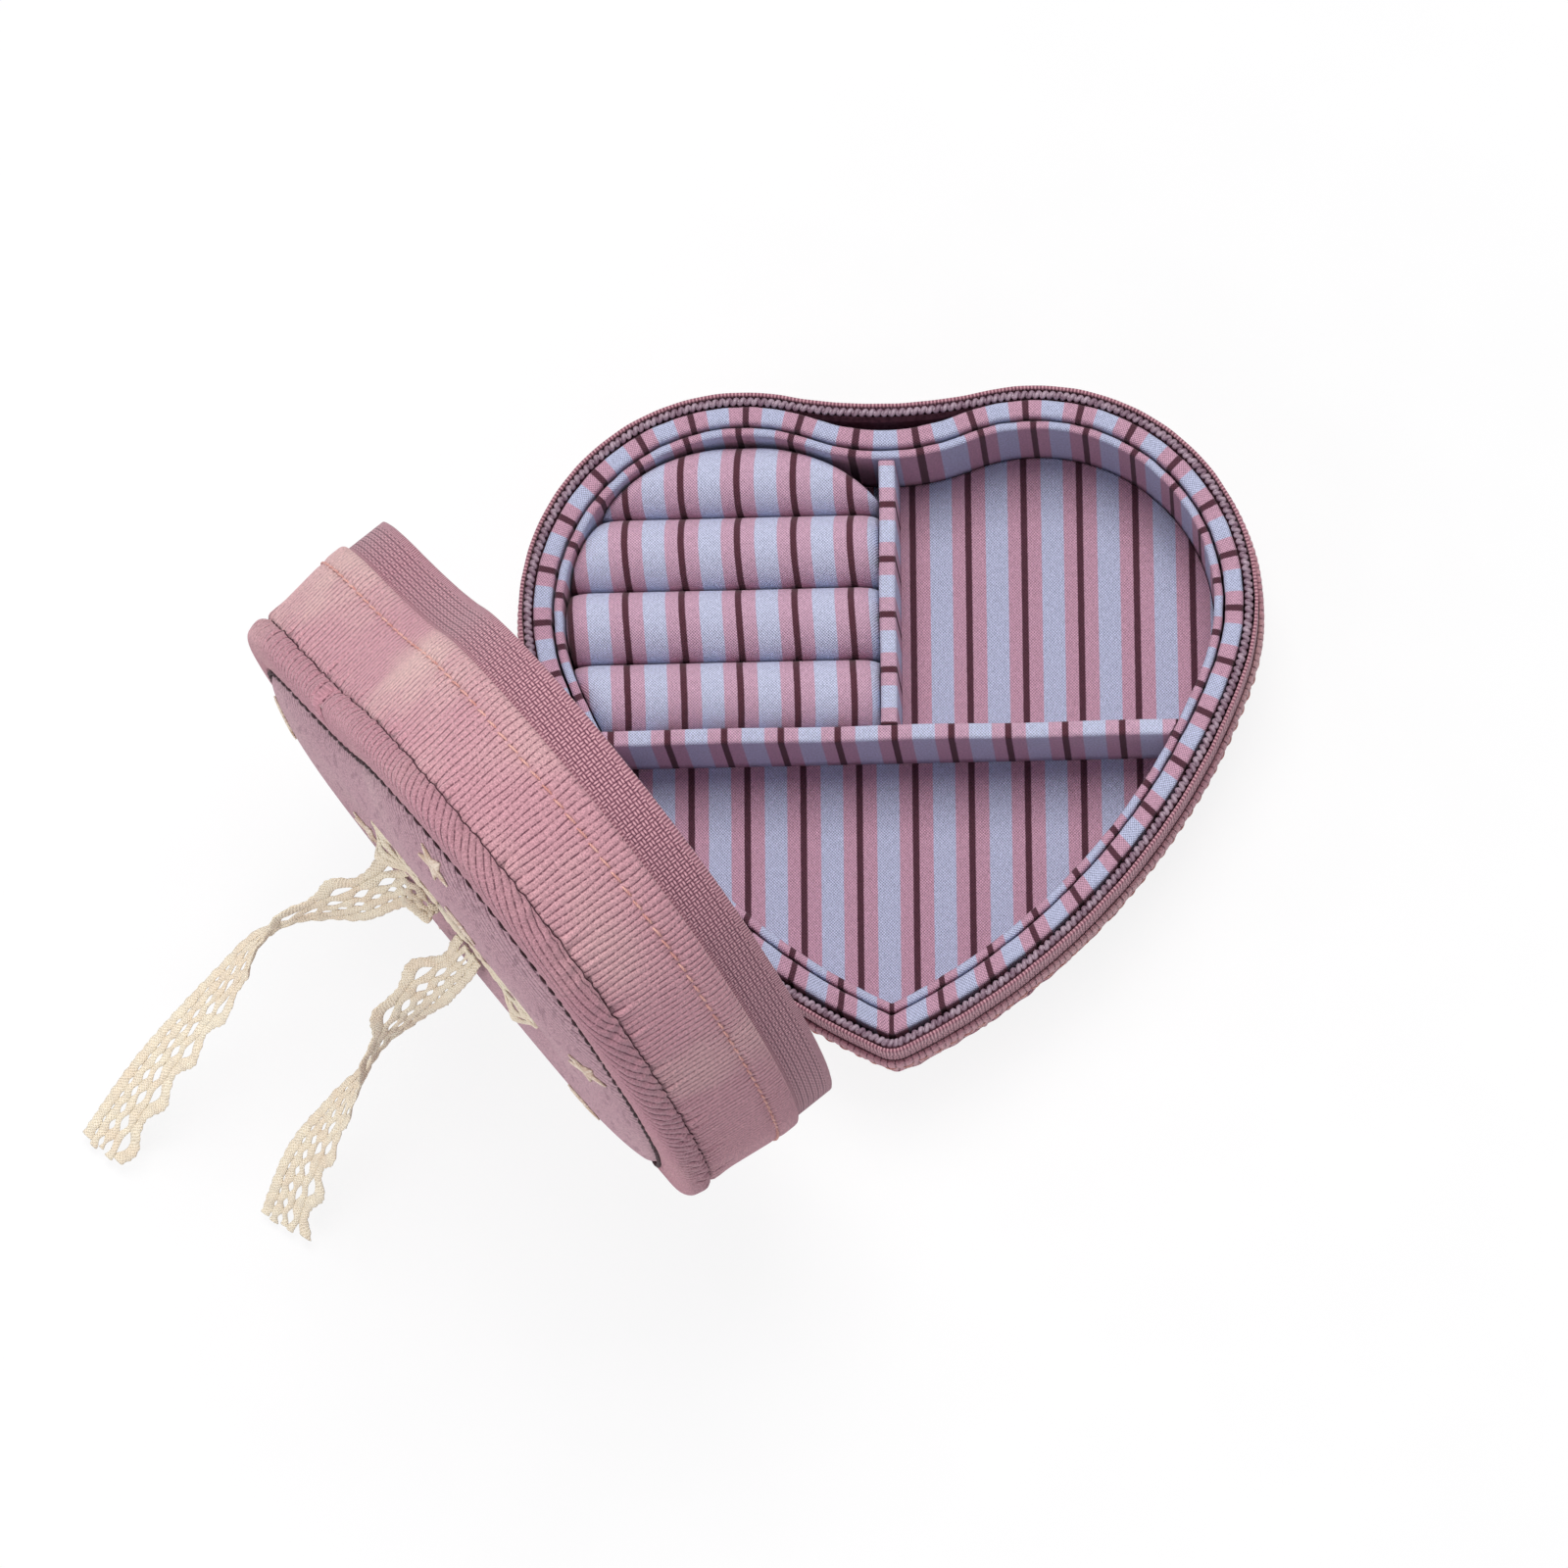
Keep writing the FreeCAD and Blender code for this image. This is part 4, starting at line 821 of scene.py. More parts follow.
@dataclass(frozen=True)
class TwistedThread:
    """Sewing thread: slanting plies along the thread."""

    name: str
    colour: str
    shade: str
    twist: float = 0.7
    slant: float = 1.6
    roughness: float = 0.7
    bump: float = 0.06

    def make(self) -> Material:
        """Return the material: a wave along and round the thread gives the plies, with painted shade between
        them.
        """
        sheet = NodeSheet.named(self.name)
        along, around = sheet.cloth()
        ply = sheet.sine(sheet.plus(along, sheet.times(around, self.slant)), self.twist)
        worn = sheet.noise(sheet.place(), 420.0, 3.0)
        # Painted shade: the ply wave darkens the thread between its plies, over a noise of uneven, worn tone.
        mottled = sheet.plus(sheet.times(ply, 0.3), sheet.remap(worn, 0.3, 0.7, 0.1, 1.0))
        colour = sheet.mix(sheet.remap(mottled, 0.0, 1.0), rgb(self.shade), rgb(self.colour))
        sheet.bump(ply, self.bump)
        return sheet.surface(colour, self.roughness, Sheen_Weight=0.15, Specular_IOR_Level=0.25)


@dataclass(frozen=True)
class LaceCotton:
    """Unbleached cotton lace: plaited threads over each strand, with a soft uneven cream."""

    name: str = "cotton_lace"
    cream: str = "F6EDD6"
    shade: str = "DCCBA9"
    blush: str = "F0E0C8"
    plait_pitch: float = 0.8

    def make(self) -> Material:
        """Return the material: two slanting waves give the plait, painted shade in its hollows, and noise the
        uneven dye.
        """
        sheet = NodeSheet.named(self.name)
        along, across = sheet.cloth()
        left = sheet.sine(sheet.plus(along, across), self.plait_pitch)
        right = sheet.sine(sheet.math("SUBTRACT", along, across), self.plait_pitch)
        plait = sheet.math("MAXIMUM", left, right)
        dye = sheet.noise(sheet.place(), 160.0, 3.0)
        fuzz = sheet.noise(sheet.vector(along, across), 2.2, 4.0)
        cream = sheet.mix(sheet.remap(dye, 0.35, 0.7), rgb(self.cream), rgb(self.blush))
        # Painted shade: the plait's hollows are mixed towards the shade colour; the fuzz adds uneven tone.
        hollow = sheet.remap(plait, -0.6, 0.8, 0.5, 0.0)
        depth = sheet.plus(hollow, sheet.remap(fuzz, 0.3, 0.7, 0.35, -0.1))
        colour = sheet.mix(depth, cream, rgb(self.shade))
        sheet.bump(plait, 0.08)
        sheet.bump(fuzz, 0.1)
        return sheet.surface(colour, 0.9, Sheen_Weight=0.2, Sheen_Roughness=0.5, Specular_IOR_Level=0.15)


@dataclass(frozen=True)
class CoilNylon:
    """Nylon of the zip's coil: smooth, slightly clear, uneven in shade from turn to turn."""

    name: str = "coil_nylon"
    colour: str = "A8929F"
    shade: str = "7C6070"

    def make(self) -> Material:
        """Return the material: a noise over the place shades the turns."""
        sheet = NodeSheet.named(self.name)
        place = sheet.place()
        uneven = sheet.remap(sheet.noise(place, 500.0), 0.35, 0.65)
        colour = sheet.mix(uneven, rgb(self.shade), rgb(self.colour))
        rough = sheet.remap(sheet.noise(place, 900.0), 0.3, 0.7, 0.3, 0.5)
        return sheet.surface(colour, rough, Specular_IOR_Level=0.5)


@dataclass(frozen=True)
class AgedNickel:
    """Nickel-plated zip metal: brushed, duller in patches."""

    name: str = "aged_nickel"
    bright: str = "C8C2BA"
    dull: str = "8C8378"

    def make(self) -> Material:
        """Return the material: fine scratches in the roughness and dull patches in the colour."""
        sheet = NodeSheet.named(self.name)
        place = sheet.place()
        dull = sheet.remap(sheet.noise(place, 240.0, 4.0), 0.45, 0.7)
        scratch = sheet.noise(sheet.stretched(place, (1.0, 1.0, 14.0)), 1400.0, 3.0)
        colour = sheet.mix(dull, rgb(self.bright), rgb(self.dull))
        rough = sheet.plus(sheet.remap(scratch, 0.3, 0.7, 0.2, 0.34), sheet.times(dull, 0.15))
        sheet.bump(scratch, 0.01)
        return sheet.surface(colour, rough, Metallic=1.0)


@dataclass(frozen=True)
class PlainFilling:
    """Hidden filling, such as board or foam: a mottled colour with fine pores."""

    name: str
    colour: str
    speck: str
    scale: float

    def make(self) -> Material:
        """Return the material: noise gives the specks and the pores."""
        sheet = NodeSheet.named(self.name)
        pores = sheet.noise(sheet.place(), self.scale, 5.0)
        colour = sheet.mix(sheet.remap(pores, 0.4, 0.7), rgb(self.colour), rgb(self.speck))
        sheet.bump(pores, 0.15)
        return sheet.surface(colour, 0.95, Specular_IOR_Level=0.1)


class Finishes:
    """All the finishes of the case, made once."""

    def __init__(self) -> None:
        """Make the materials."""
        self.cord = Needlecord().make()
        self.roll = Needlecord("needlecord_roll", "B88892", "C7A3A2", "54303E", spots=()).make()
        # Painted shade: the field's pile is greyer than the wall's, for its grazing view; same needlecord.
        self.panel = Needlecord("needlecord_panel", "BE99A2", "CBAFB1", "5E3A4A", flecks=0.33).make()
        self.tape = ZipTape().make()
        self.stripes = StripedCotton().make()
        # Painted light: a lighter copy of the striped cotton for the dividers and rolls, lit more than the
        # floor.
        self.painted_lit_stripes = StripedCotton("striped_cotton_painted_lit", "5C343F", "D4ABC0", "CDD3EC").make()
        self.topstitch = TwistedThread("topstitch_thread", "ECB8AC", "CC8880").make()
        self.quilting = TwistedThread("quilting_thread", "43202A", "25090F").make()
        self.embroidery = TwistedThread("embroidery_thread", "EBDCC8", "C9AE96", 1.4, 0.4, 0.45).make()
        self.lace = LaceCotton().make()
        self.coil = CoilNylon().make()
        self.metal = AgedNickel().make()
        self.board = PlainFilling("wine_board", "6A4552", "53323F", 900.0).make()
        self.foam = PlainFilling("cushion_foam", "D9D2C4", "B9B1A0", 1600.0).make()


def fit(thing: Thing, finish: Material, body: Body, node: str) -> None:
    """Dress a piece, let it ride on its body and stand for its node.

    Args:
        thing: the piece.
        finish: its material.
        body: the body that carries it.
        node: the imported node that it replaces.
    """
    thing.data.materials.append(finish)
    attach(thing, body.value)
    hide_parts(node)
    LOG.info("%s: %d faces on %s", thing.name, len(thing.data.polygons), body.value)


def redress(node: str, finish: Material) -> None:
    """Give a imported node's object a better material."""
    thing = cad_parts[node]
    thing.data.materials.clear()
    thing.data.materials.append(finish)
    LOG.info("%s: redressed in %s", node, finish.name)


def seam_wander(stations: Stations) -> Array:
    """Return how far the lid's seam strays up and down along its way round: closed ripples."""
    return 0.34 * ripple(stations.turn(), (37, 58, 83, 127, 163), 53)


def heart_slab(outline: HeartOutline, low: float, high: float, wave: float, columns: int = 220) -> Patch:
    """Return a flat heart of cloth over card: columns along the heart, one face gently uneven.

    Args:
        outline: its outline.
        low: height of its underside.
        high: height of its top.
        wave: unevenness, up on the top face or, where negative, down on the underside.
        columns: columns across.

    Returns:
        The closed patch.
    """
    rows = np.concatenate([[0.0, 0.006], np.linspace(0.02, 0.98, 40), [0.994, 1.0]])
    soft_edge = 0.15
    flat = heart_columns(outline, columns, rows)
    x, y = flat[..., 0], flat[..., 1]
    uneven = np.abs(np.sin(x / 9.0 + 1.0) * np.sin(y / 12.0 + 0.4) + 0.5 * np.sin(x / 4.3 - y / 17.0))
    middle = np.minimum(rows, 1 - rows)[:, None] > 0.01
    top = raised(flat, high + np.where(middle, uneven * max(wave, 0.0), -soft_edge))
    bottom = raised(flat, low + np.where(middle, uneven * min(wave, 0.0), soft_edge))
    whole = np.concatenate([top, bottom[::-1]]).transpose(1, 0, 2)
    maps = np.concatenate([flat, flat[::-1], flat[:1]]).transpose(1, 0, 2)
    return patch_of(whole, maps + np.array([stripe_shift(10), 0.0]))


@dataclass(frozen=True)
class StitchRow:
    """Running stitches round a heart: short threads that dive into the cloth at both ends."""

    outline: HeartOutline
    count: int
    first: float
    cover: float
    radius: float
    slim: float
    flat: float

    STEPS = np.linspace(-0.5, 0.5, 7)

    def stations(self) -> Stations:
        """Return stations along the stitches, each covering its share of the pitch."""
        starts = np.arange(self.count)[:, None] + self.first
        along = (starts + self.cover * self.STEPS) * (self.outline.length() / self.count)
        return Stations.at(self.outline, along.ravel())

    def threads(self, aside: Array, height: Array, out: Array) -> Patch:
        """Return the stitches, thinner towards their ends by a power of a cosine.

        Args:
            aside: distance out of the heart, by stitch and step.
            height: height, by stitch and step.
            out: directions out of the cloth, by stitch and step.

        Returns:
            The patch of all threads.
        """
        stations = self.stations()
        shape = (self.count, len(self.STEPS))
        spread = np.broadcast_to(aside, shape).ravel()[:, None]
        flat = self.outline.points(stations) + stations.normals(self.outline) * spread
        paths = raised(flat.reshape(*shape, 2), height)
        radii = self.radius * np.cos(math.pi * self.STEPS * self.slim) ** 0.35
        return tube_patch(paths, np.broadcast_to(radii, shape), out.reshape(paths.shape), 6, self.flat)


@dataclass
class CordWall:
    """A band of needlecord round the case, its wales across the band, with a sunk row of topstitching.

    A band has a folded edge beside the zip tape and a seam. A flipped band has its seam below.
    """

    low: float
    high: float
    stitch: float
    seed: int
    flip: bool = False
    columns_per_wale: int = 8
    out: float = -1.2
    inner: float = -0.15
    ridge: float = 0.22
    wander: float = 0.13
    dip: float = 0.34
    dip_reach: float = 0.85
    pucker: float = 0.62
    pucker_reach: float = 3.4
    wave: float = 0.18
    seam_reach: float = 3.0
    taper: float = 2.2
    upright: float = 3.6
    farthest: float = 1.4
    stitch_pitch: float = 3.4
    stitch_foot: float = 0.5
    stitch_rise: float = 0.58
    stitch_slant: float = 0.35

    FACE = (0.05, 0.1, 0.15, 0.19, 0.22, 0.25, 0.28, 0.32, 0.38, 0.46, 0.55, 0.64, 0.73, 0.81, 0.88)

    def seam_and_fold(self) -> tuple[float, float]:
        """Return the heights of the seam and of the folded edge."""
        return (self.low, self.high) if self.flip else (self.high, self.low)

    def lean(self, heights: Array) -> Array:
        """Return how far the band leans in at heights: upright by the tape, the full taper at its seam."""
        seam, fold = self.seam_and_fold()
        above = np.abs(heights - fold) - self.upright
        return self.taper * np.clip(above / (abs(seam - fold) - self.upright), 0, 1)

    def profile(self) -> Array:
        """Return the closed profile of the band before it leans.

        It runs over the folded edge, the outer face and the curled seam, then down the inner face.

        Returns:
            Rows of inset and height.
        """
        span = self.high - self.low
        fold = np.array([(self.inner, 0.12), (-0.5, 0.0), (-0.85, 0.1), (-1.1, 0.45)])
        seam = np.array([(-1.15, -1.1), (-1.0, -0.5), (-0.65, -0.12), (self.inner, -0.05)])
        outside = np.vstack([fold, upright(self.out, np.array(self.FACE) * span), seam + (0.0, span)])
        if self.flip:
            outside = (0.0, self.high) + outside[::-1] * (1.0, -1.0)
        else:
            outside = outside + (0.0, self.low)
        inside = upright(self.inner, np.array([self.high - span / 3, self.low + span / 3]))
        return np.vstack([outside, inside])

    def wale_length(self, stations: Stations) -> Array:
        """Return the distance round, scaled to whole wales."""
        return stations.turn() * WALES_ROUND * WALE_PITCH

    def wale_grid(self, profile: Array, stations: Stations) -> Array:
        """Return the distance round for each profile row and station, with the wales' slight wander."""
        turn = 2 * math.pi * stations.turn()[None, :]
        rise = profile[:, 1][:, None] - self.low
        sway = np.sin(rise / 2.1 + 41 * turn + self.seed) + 0.8 * np.sin(rise / 4.3 - 67 * turn)
        return self.wale_length(stations)[None, :] + self.wander * sway

    def swell(self, profile: Array, stations: Stations) -> Array:
        """Return how far each point stands out: wales, stitch channel, and puckers at the seam."""
        share = stations.turn()
        heights = profile[:, 1]
        seam, _ = self.seam_and_fold()
        face = np.clip((self.inner - profile[:, 0]) / (self.inner - self.out), 0, 1)[:, None]
        wales = self.ridge * (wale_ridge(self.wale_grid(profile, stations)) - 1.0)
        beat = 0.72 + 0.28 * np.cos(2 * math.pi * self.wale_length(stations) / self.stitch_pitch)
        channel = -self.dip * np.outer(bell(heights, self.stitch, self.dip_reach), beat)
        pucker = ripple(share, (61, 83, 109, 131), self.seed)
        puckers = self.pucker * np.outer(bell(heights, seam, self.pucker_reach), pucker)
        waves = self.wave * ripple(share, (7, 13, 19, 29), self.seed + 1)[None, :]
        return (wales + channel + puckers + waves) * face

    def build(self) -> Patch:
        """Return the band, closed."""
        stations = Stations.even(SHELL, WALES_ROUND * self.columns_per_wale)
        profile = self.profile()
        inset = np.minimum(profile[:, 0] + self.lean(profile[:, 1]), self.farthest)
        leaning = np.c_[inset, profile[:, 1]]
        points = ring_grid(SHELL, stations, leaning, self.swell(profile, stations))
        if not self.flip:
            near_seam = bell(profile[:, 1], self.high, self.seam_reach)
            points[..., 2] += np.outer(near_seam, seam_wander(stations))
        wales = self.wale_grid(profile, stations)
        wales = looped(np.c_[wales, wales[:, :1] + WALES_ROUND * WALE_PITCH], 0)
        cloth = paired(wales, distances(looped(profile, 0))[:, None])
        return patch_of(points, cloth, ring=True)

    def stitches(self) -> Patch:
        """Return the topstitches, slanting a little, at the band's own lean."""
        row = StitchRow(SHELL, round(SHELL.length() / self.stitch_pitch), 0.5, 0.86, 0.24, 0.9, 0.8)
        steps = row.STEPS
        foot = self.out + self.stitch_foot + self.lean(np.array([self.stitch]))
        aside = self.stitch_rise * np.cos(math.pi * steps) ** 0.7 - foot
        out = raised(row.stations().normals(SHELL), 0.0)
        return row.threads(aside, self.stitch + self.stitch_slant * steps, out)

    def dress(self, finishes: Finishes, body: Body) -> None:
        """Write and dress the band and its topstitches on a body."""
        part = body.value
        cover = write_mesh(f"needlecord_{part}_wall", [self.build().on(body)])
        fit(cover, finishes.cord, body, f"{part}_outer_wall")
        SHELL.length() * MM
        thread = write_mesh(f"topstitching_{part}", [self.stitches().on(body)])
        fit(thread, finishes.topstitch, body, f"{part}_topstitch")


@dataclass
class BaseShell:
    """The base's outside: padded bottom, needlecord wall, topstitching and boards."""

    finishes: Finishes
    seam: float = 6.35
    wall_top: float = 24.55
    stitch: float = 19.6
    board_inset: float = 2.0
    board_thickness: float = 2.0
    pad_top: float = 6.2
    pucker: float = 0.3
    pucker_height: float = 5.9
    pucker_reach: float = 2.2
    ridge: float = 0.042
    ridge_top: float = 5.5

    PAD_EDGE = ((7.6, 0.0), (5.9, 0.18), (4.0, 0.85), (2.8, 1.8), (2.0, 2.8), (1.45, 3.9), (1.1, 5.0))
    PAD_RIM = ((1.0, 5.7), (1.2, 6.15), (1.8, 6.2), (3.0, 6.2))

    def build(self) -> None:
        """Build and dress the base's outside."""
        wall = CordWall(self.seam, self.wall_top, self.stitch, 11, flip=True)
        wall.dress(self.finishes, Body.BASE)
        self.bottom()
        outline = SHELL.inset(self.board_inset)
        slab = heart_slab(outline, self.seam, self.seam + self.board_thickness, 0.0, 120)
        board = write_mesh("floor_board", [slab])
        fit(board, self.finishes.board, Body.BASE, "base_floor_board")
        redress("base_wall_board", self.finishes.board)

    def bottom(self) -> None:
        """Build the padded bottom: hearts from the flat, round the soft edge, to the seam and back."""
        stations = Stations.even(SHELL, 960)
        profile = np.array(self.PAD_EDGE + self.PAD_RIM)
        near_seam = bell(profile[:, 1], self.pucker_height, self.pucker_reach)
        puckers = self.pucker * np.outer(near_seam, ripple(stations.turn(), (53, 71, 97), 31))
        ring = ring_grid(SHELL, stations, profile, puckers)
        shrink = np.linspace(0.03, 0.92, 14)[:, None, None]
        floor = raised(shrink * ring[:1, :, :2], 0.0)
        roof = raised(shrink[::-1] * ring[-1:, :, :2], self.pad_top)
        points = np.concatenate([floor, ring, roof])
        grooves = self.ridge * (1.0 - wale_ridge(points[..., 0]))
        height = points[..., 2]
        points[..., 2] = np.maximum(height + np.where(height < self.ridge_top, grooves, 0.0), 0.0)
        pad = write_mesh("padded_bottom", [patch_of(points, looped(points[..., :2], 1))])
        fit(pad, self.finishes.cord, Body.BASE, "base_bottom_panel")


@dataclass(frozen=True)
class FieldPadding:
    """The lid's padded field: it rises from its stitched edge to a soft crown and is tied down at the bow."""

    inset: float = 10.0
    foot: float = 35.35
    edge_rise: float = 1.5
    edge_reach: float = 0.9
    crown_rise: float = 3.6
    crown_reach: float = 20.0
    tied: float = 37.6
    bow: tuple[float, float] = (0.0, 12.0)
    tie_length: float = 31.0
    tie_width: float = 11.0
    outline_points: int = 1400
    plain_reach: float = 0.8
    blend_reach: float = 2.0

    def outline(self) -> HeartOutline:
        """Return the field's stitched outline."""
        return SHELL.inset(self.inset)

    def gap(self, flat: Array) -> Array:
        """Return a smooth distance from the outline at rows of x and y.

        Close by it is the distance to the nearest point. Farther in it comes from the sum of the inverse
        fourth powers of all distances, which has no creases.
        """
        outline = self.outline()
        loop = outline.loop(self.outline_points)
        away = np.maximum(np.linalg.norm(flat[:, None] - loop[None], axis=2), 1e-3)
        near = away.min(axis=1)
        total = (away**-4.0).sum(axis=1) * (outline.length() / self.outline_points)
        soft = (math.pi / 2 / total) ** (1 / 3)
        share = np.clip((near - self.plain_reach) / self.blend_reach, 0, 1)
        return near + (soft - near) * share

    def height(self, flat: Array) -> Array:
        """Return the padding's height above the zip plane at rows of x and y.

        An exponential rise at the edge and a parabola to the crown add up, and a bell draws them down to the
        bow's tie.
        """
        gap = self.gap(flat)
        edge = self.edge_rise * (1 - np.exp(-gap / self.edge_reach))
        crown = self.crown_rise * (1 - (1 - np.minimum(gap / self.crown_reach, 1)) ** 2)
        full = self.foot + edge + crown
        arm = flat - np.array(self.bow)
        along, inward = arm @ HINGE_AXIS[:2], arm @ HINGE_INWARD[:2]
        pinch = bell(along, 0.0, self.tie_length) * bell(inward, 0.0, self.tie_width)
        return full + (self.tied - full) * pinch


@dataclass
class LidShell:
    """The lid: needlecord wall, rolled edge, quilted field, linings and topstitching."""

    finishes: Finishes
    band: float = 9.45
    seam: float = 30.2
    stitch: float = 14.8
    quilt: float = 9.6
    cover: float = 35.2
    ply_gap: float = 0.15
    quilt_rise: float = 36.15
    quilt_pitch: float = 3.3
    quilt_stray: float = 0.2
    roll_pucker: float = 0.6
    roll_wave: float = 0.2
    roll_quilted: float = 0.25
    roll_ridge: float = 0.3
    roll_wander: float = 0.4
    tuck_rise: float = 0.6
    field_ridge: float = 0.2
    field_drift: float = 0.45
    lining_out: float = 2.9
    lining_in: float = 3.5
    lining_low: float = 1.8
    lining_high: float = 29.9
    lining_slack: float = 0.25
    top_low: float = 30.05
    top_high: float = 30.65
    top_wave: float = 0.12

    ROLL_SEAM = ((1.1, -0.02), (0.85, 0.12), (0.5, 0.8), (0.4, 1.8), (0.5, 3.1), (0.85, 4.3), (1.7, 5.15))
    ROLL_TOP = ((3.2, 5.7), (5.5, 5.95), (7.6, 5.95), (8.7, 5.8), (9.1, 5.35), (9.2, 4.95))
    ROLL_INSIDE = ((9.1, 4.78), (5.0, 4.75), (1.45, 4.68), (1.45, 2.4), (1.45, 0.15), (1.3, 0.0))
    ROLL_ROWS = 56
    FAR_OFF = 99.0

    def build(self) -> None:
        """Build and dress the lid."""
        wall = CordWall(ZIP_Z + self.band, ZIP_Z + self.seam, ZIP_Z + self.stitch, 5)
        wall.dress(self.finishes, Body.LID)
        self.edge_roll()
        self.field()
        self.quilting()
        self.lining_wall()
        self.lining_panel()
        redress("lid_wall_board", self.finishes.board)
        redress("lid_top_board", self.finishes.board)
        redress("lid_top_foam", self.finishes.foam)

    def roll_profile(self) -> tuple[Array, Array]:
        """Return the rolled edge's closed profile, and how far each of its rows is outside, from 0 to 1."""
        curve, _ = smooth_path(np.array(self.ROLL_SEAM + self.ROLL_TOP), self.ROLL_ROWS)
        profile = np.vstack([curve, self.ROLL_INSIDE])
        profile[:, 1] += ZIP_Z + self.seam + self.ply_gap
        outside = np.repeat([1.0, 0.0], [self.ROLL_ROWS, len(self.ROLL_INSIDE)])
        outside[:2] = (0.3, 0.7)
        outside[self.ROLL_ROWS - 2 : self.ROLL_ROWS] = (0.7, 0.3)
        return profile, outside

    def edge_roll(self) -> None:
        """Build the rolled edge: a puffed profile round the heart, puckered at its seam, tucked at the notch.

        The wales run straight over the roll's cloth as it was cut flat, and stand out along its normals.
        """
        stations = Stations.even(SHELL, 1440)
        share = stations.turn()
        profile, outside = self.roll_profile()
        inset, rise = profile[:, 0], profile[:, 1] - ZIP_Z - self.seam
        notch = np.where(stations.arc == NOTCH_ARC, SHELL.points(stations)[:, 0], self.FAR_OFF)
        tuck = 0.7 * bell(notch, 0.0, 1.2) - 0.9 * bell(np.abs(notch), 2.6, 1.0)
        pucker = ripple(share, (47, 61, 79, 103, 131), 41)
        swell = self.roll_pucker * np.outer(bell(rise, 1.0, 2.6) * outside, pucker)
        swell += self.roll_wave * np.outer(outside, ripple(share, (5, 9, 17), 8))
        swell += np.outer(outside * bell(inset, 1.5, 5.0), tuck)
        points = ring_grid(SHELL, stations, profile, swell)
        quilted = ripple(share, (113, 127), 17)
        points[..., 2] += self.roll_quilted * np.outer(bell(inset, 9.4, 1.8) * outside, quilted)
        points[..., 2] += self.tuck_rise * np.outer(outside * bell(inset, 2.0, 4.0), tuck)
        points[..., 2] += np.outer(bell(rise, self.ply_gap, 2.0), seam_wander(stations))
        cloth = self.unrolled(profile, stations)
        wales = cloth[..., 0] + self.roll_wander * ripple(share, (9, 14, 23), 3)[None, :]
        wales = wales + (WALE_PITCH / 2 - wales) * bell(notch, 0.0, 1.5)[None, :]
        over = np.gradient(points, axis=0)
        onward = np.roll(points, -1, axis=1) - np.roll(points, 1, axis=1)
        ridge = self.roll_ridge * (wale_ridge(wales) - 1.0) * outside[:, None]
        points = points + unit(np.cross(onward, over)) * ridge[..., None]
        cloth = looped(looped(paired(wales, cloth[..., 1]), 1), 0)
        roll = write_mesh("rolled_edge", [patch_of(open_lid(points), cloth, ring=True)])
        fit(roll, self.finishes.roll, Body.LID, "lid_edge_roll")

    def unrolled(self, profile: Array, stations: Stations) -> Array:
        """Return the roll's cloth laid flat: each row as far out of the quilting line as the cloth runs.

        Args:
            profile: the roll's profile, over its outside to the quilting line and then inside.
            stations: places round the heart.

        Returns:
            Cloth x and y by profile row and station.
        """
        steps = np.linalg.norm(np.diff(profile[: self.ROLL_ROWS], axis=0), axis=1)
        reach = np.zeros(len(profile))
        reach[: len(steps)] = np.cumsum(steps[::-1])[::-1]
        line = SHELL.inset(profile[self.ROLL_ROWS - 1, 0]).points(stations)
        return line[None] + reach[:, None, None] * stations.normals(SHELL)[None]

    def field(self) -> None:
        """Build the quilted field: columns along the heart at the padding's height, with fine wales."""
        padding = FieldPadding()
        rows = 0.5 - 0.5 * np.cos(np.linspace(0, math.pi, 84))
        flat = heart_columns(padding.outline(), 600, rows)
        x, y = flat[..., 0], flat[..., 1]
        height = np.stack([padding.height(row) for row in flat])
        height[0], height[-1] = self.cover, self.cover
        wales = x + self.field_drift * np.sin(y / 9.0 + x / 40.0)
        height[1:-1] += self.field_ridge * (wale_ridge(wales[1:-1]) - 1.0)
        points = raised(flat, ZIP_Z + height)
        under = raised(flat[[-1, 0]], ZIP_Z + self.cover - self.ply_gap)
        whole = np.concatenate([points, under])
        cloth = looped(np.concatenate([paired(wales, y), under[..., :2]]), 0)
        patch = patch_of(open_lid(whole).transpose(1, 0, 2), cloth.transpose(1, 0, 2))
        panel = write_mesh("quilted_field", [patch])
        fit(panel, self.finishes.panel, Body.LID, "lid_field_panel")

    def quilting(self) -> None:
        """Build the quilting: running stitches in the groove between the rolled edge and the field."""
        outline = SHELL.inset(self.quilt)
        row = StitchRow(outline, round(outline.length() / self.quilt_pitch), 0.0, 0.96, 0.46, 0.88, 0.9)
        stray = np.random.RandomState(23).uniform(-self.quilt_stray, self.quilt_stray, row.count)
        height = ZIP_Z + self.quilt_rise - 0.4 + 0.6 * np.cos(math.pi * row.STEPS) ** 0.6
        out = np.tile(UP, (row.count * len(row.STEPS), 1))
        thread = write_mesh("quilting_stitches", [row.threads(stray[:, None], height, out).on(Body.LID)])
        fit(thread, self.finishes.quilting, Body.LID, "lid_quilt_stitch")

    def lining_wall(self) -> None:
        """Build the striped lining of the lid's wall: a band a little slack between its edges."""
        stations = Stations.even(SHELL, 960)
        heights = ZIP_Z + np.linspace(self.lining_low, self.lining_high, 14)
        profile = np.vstack([upright(self.lining_in, heights), upright(self.lining_out, heights[::-1])])
        loose = np.concatenate([np.sin(np.linspace(0, math.pi, len(heights))), np.zeros(len(heights))])
        slack = self.lining_slack * np.abs(ripple(stations.turn(), (11, 17, 26, 40), 61))
        points = ring_grid(SHELL, stations, profile, -np.outer(loose, slack))
        cloth = ring_map(profile, stations, stations.length, STRIPE_PERIOD)
        wall = write_mesh("lid_lining_band", [patch_of(open_lid(points), cloth, ring=True)])
        fit(wall, self.finishes.stripes, Body.LID, "lid_lining_wall")
        SHELL.length() * MM

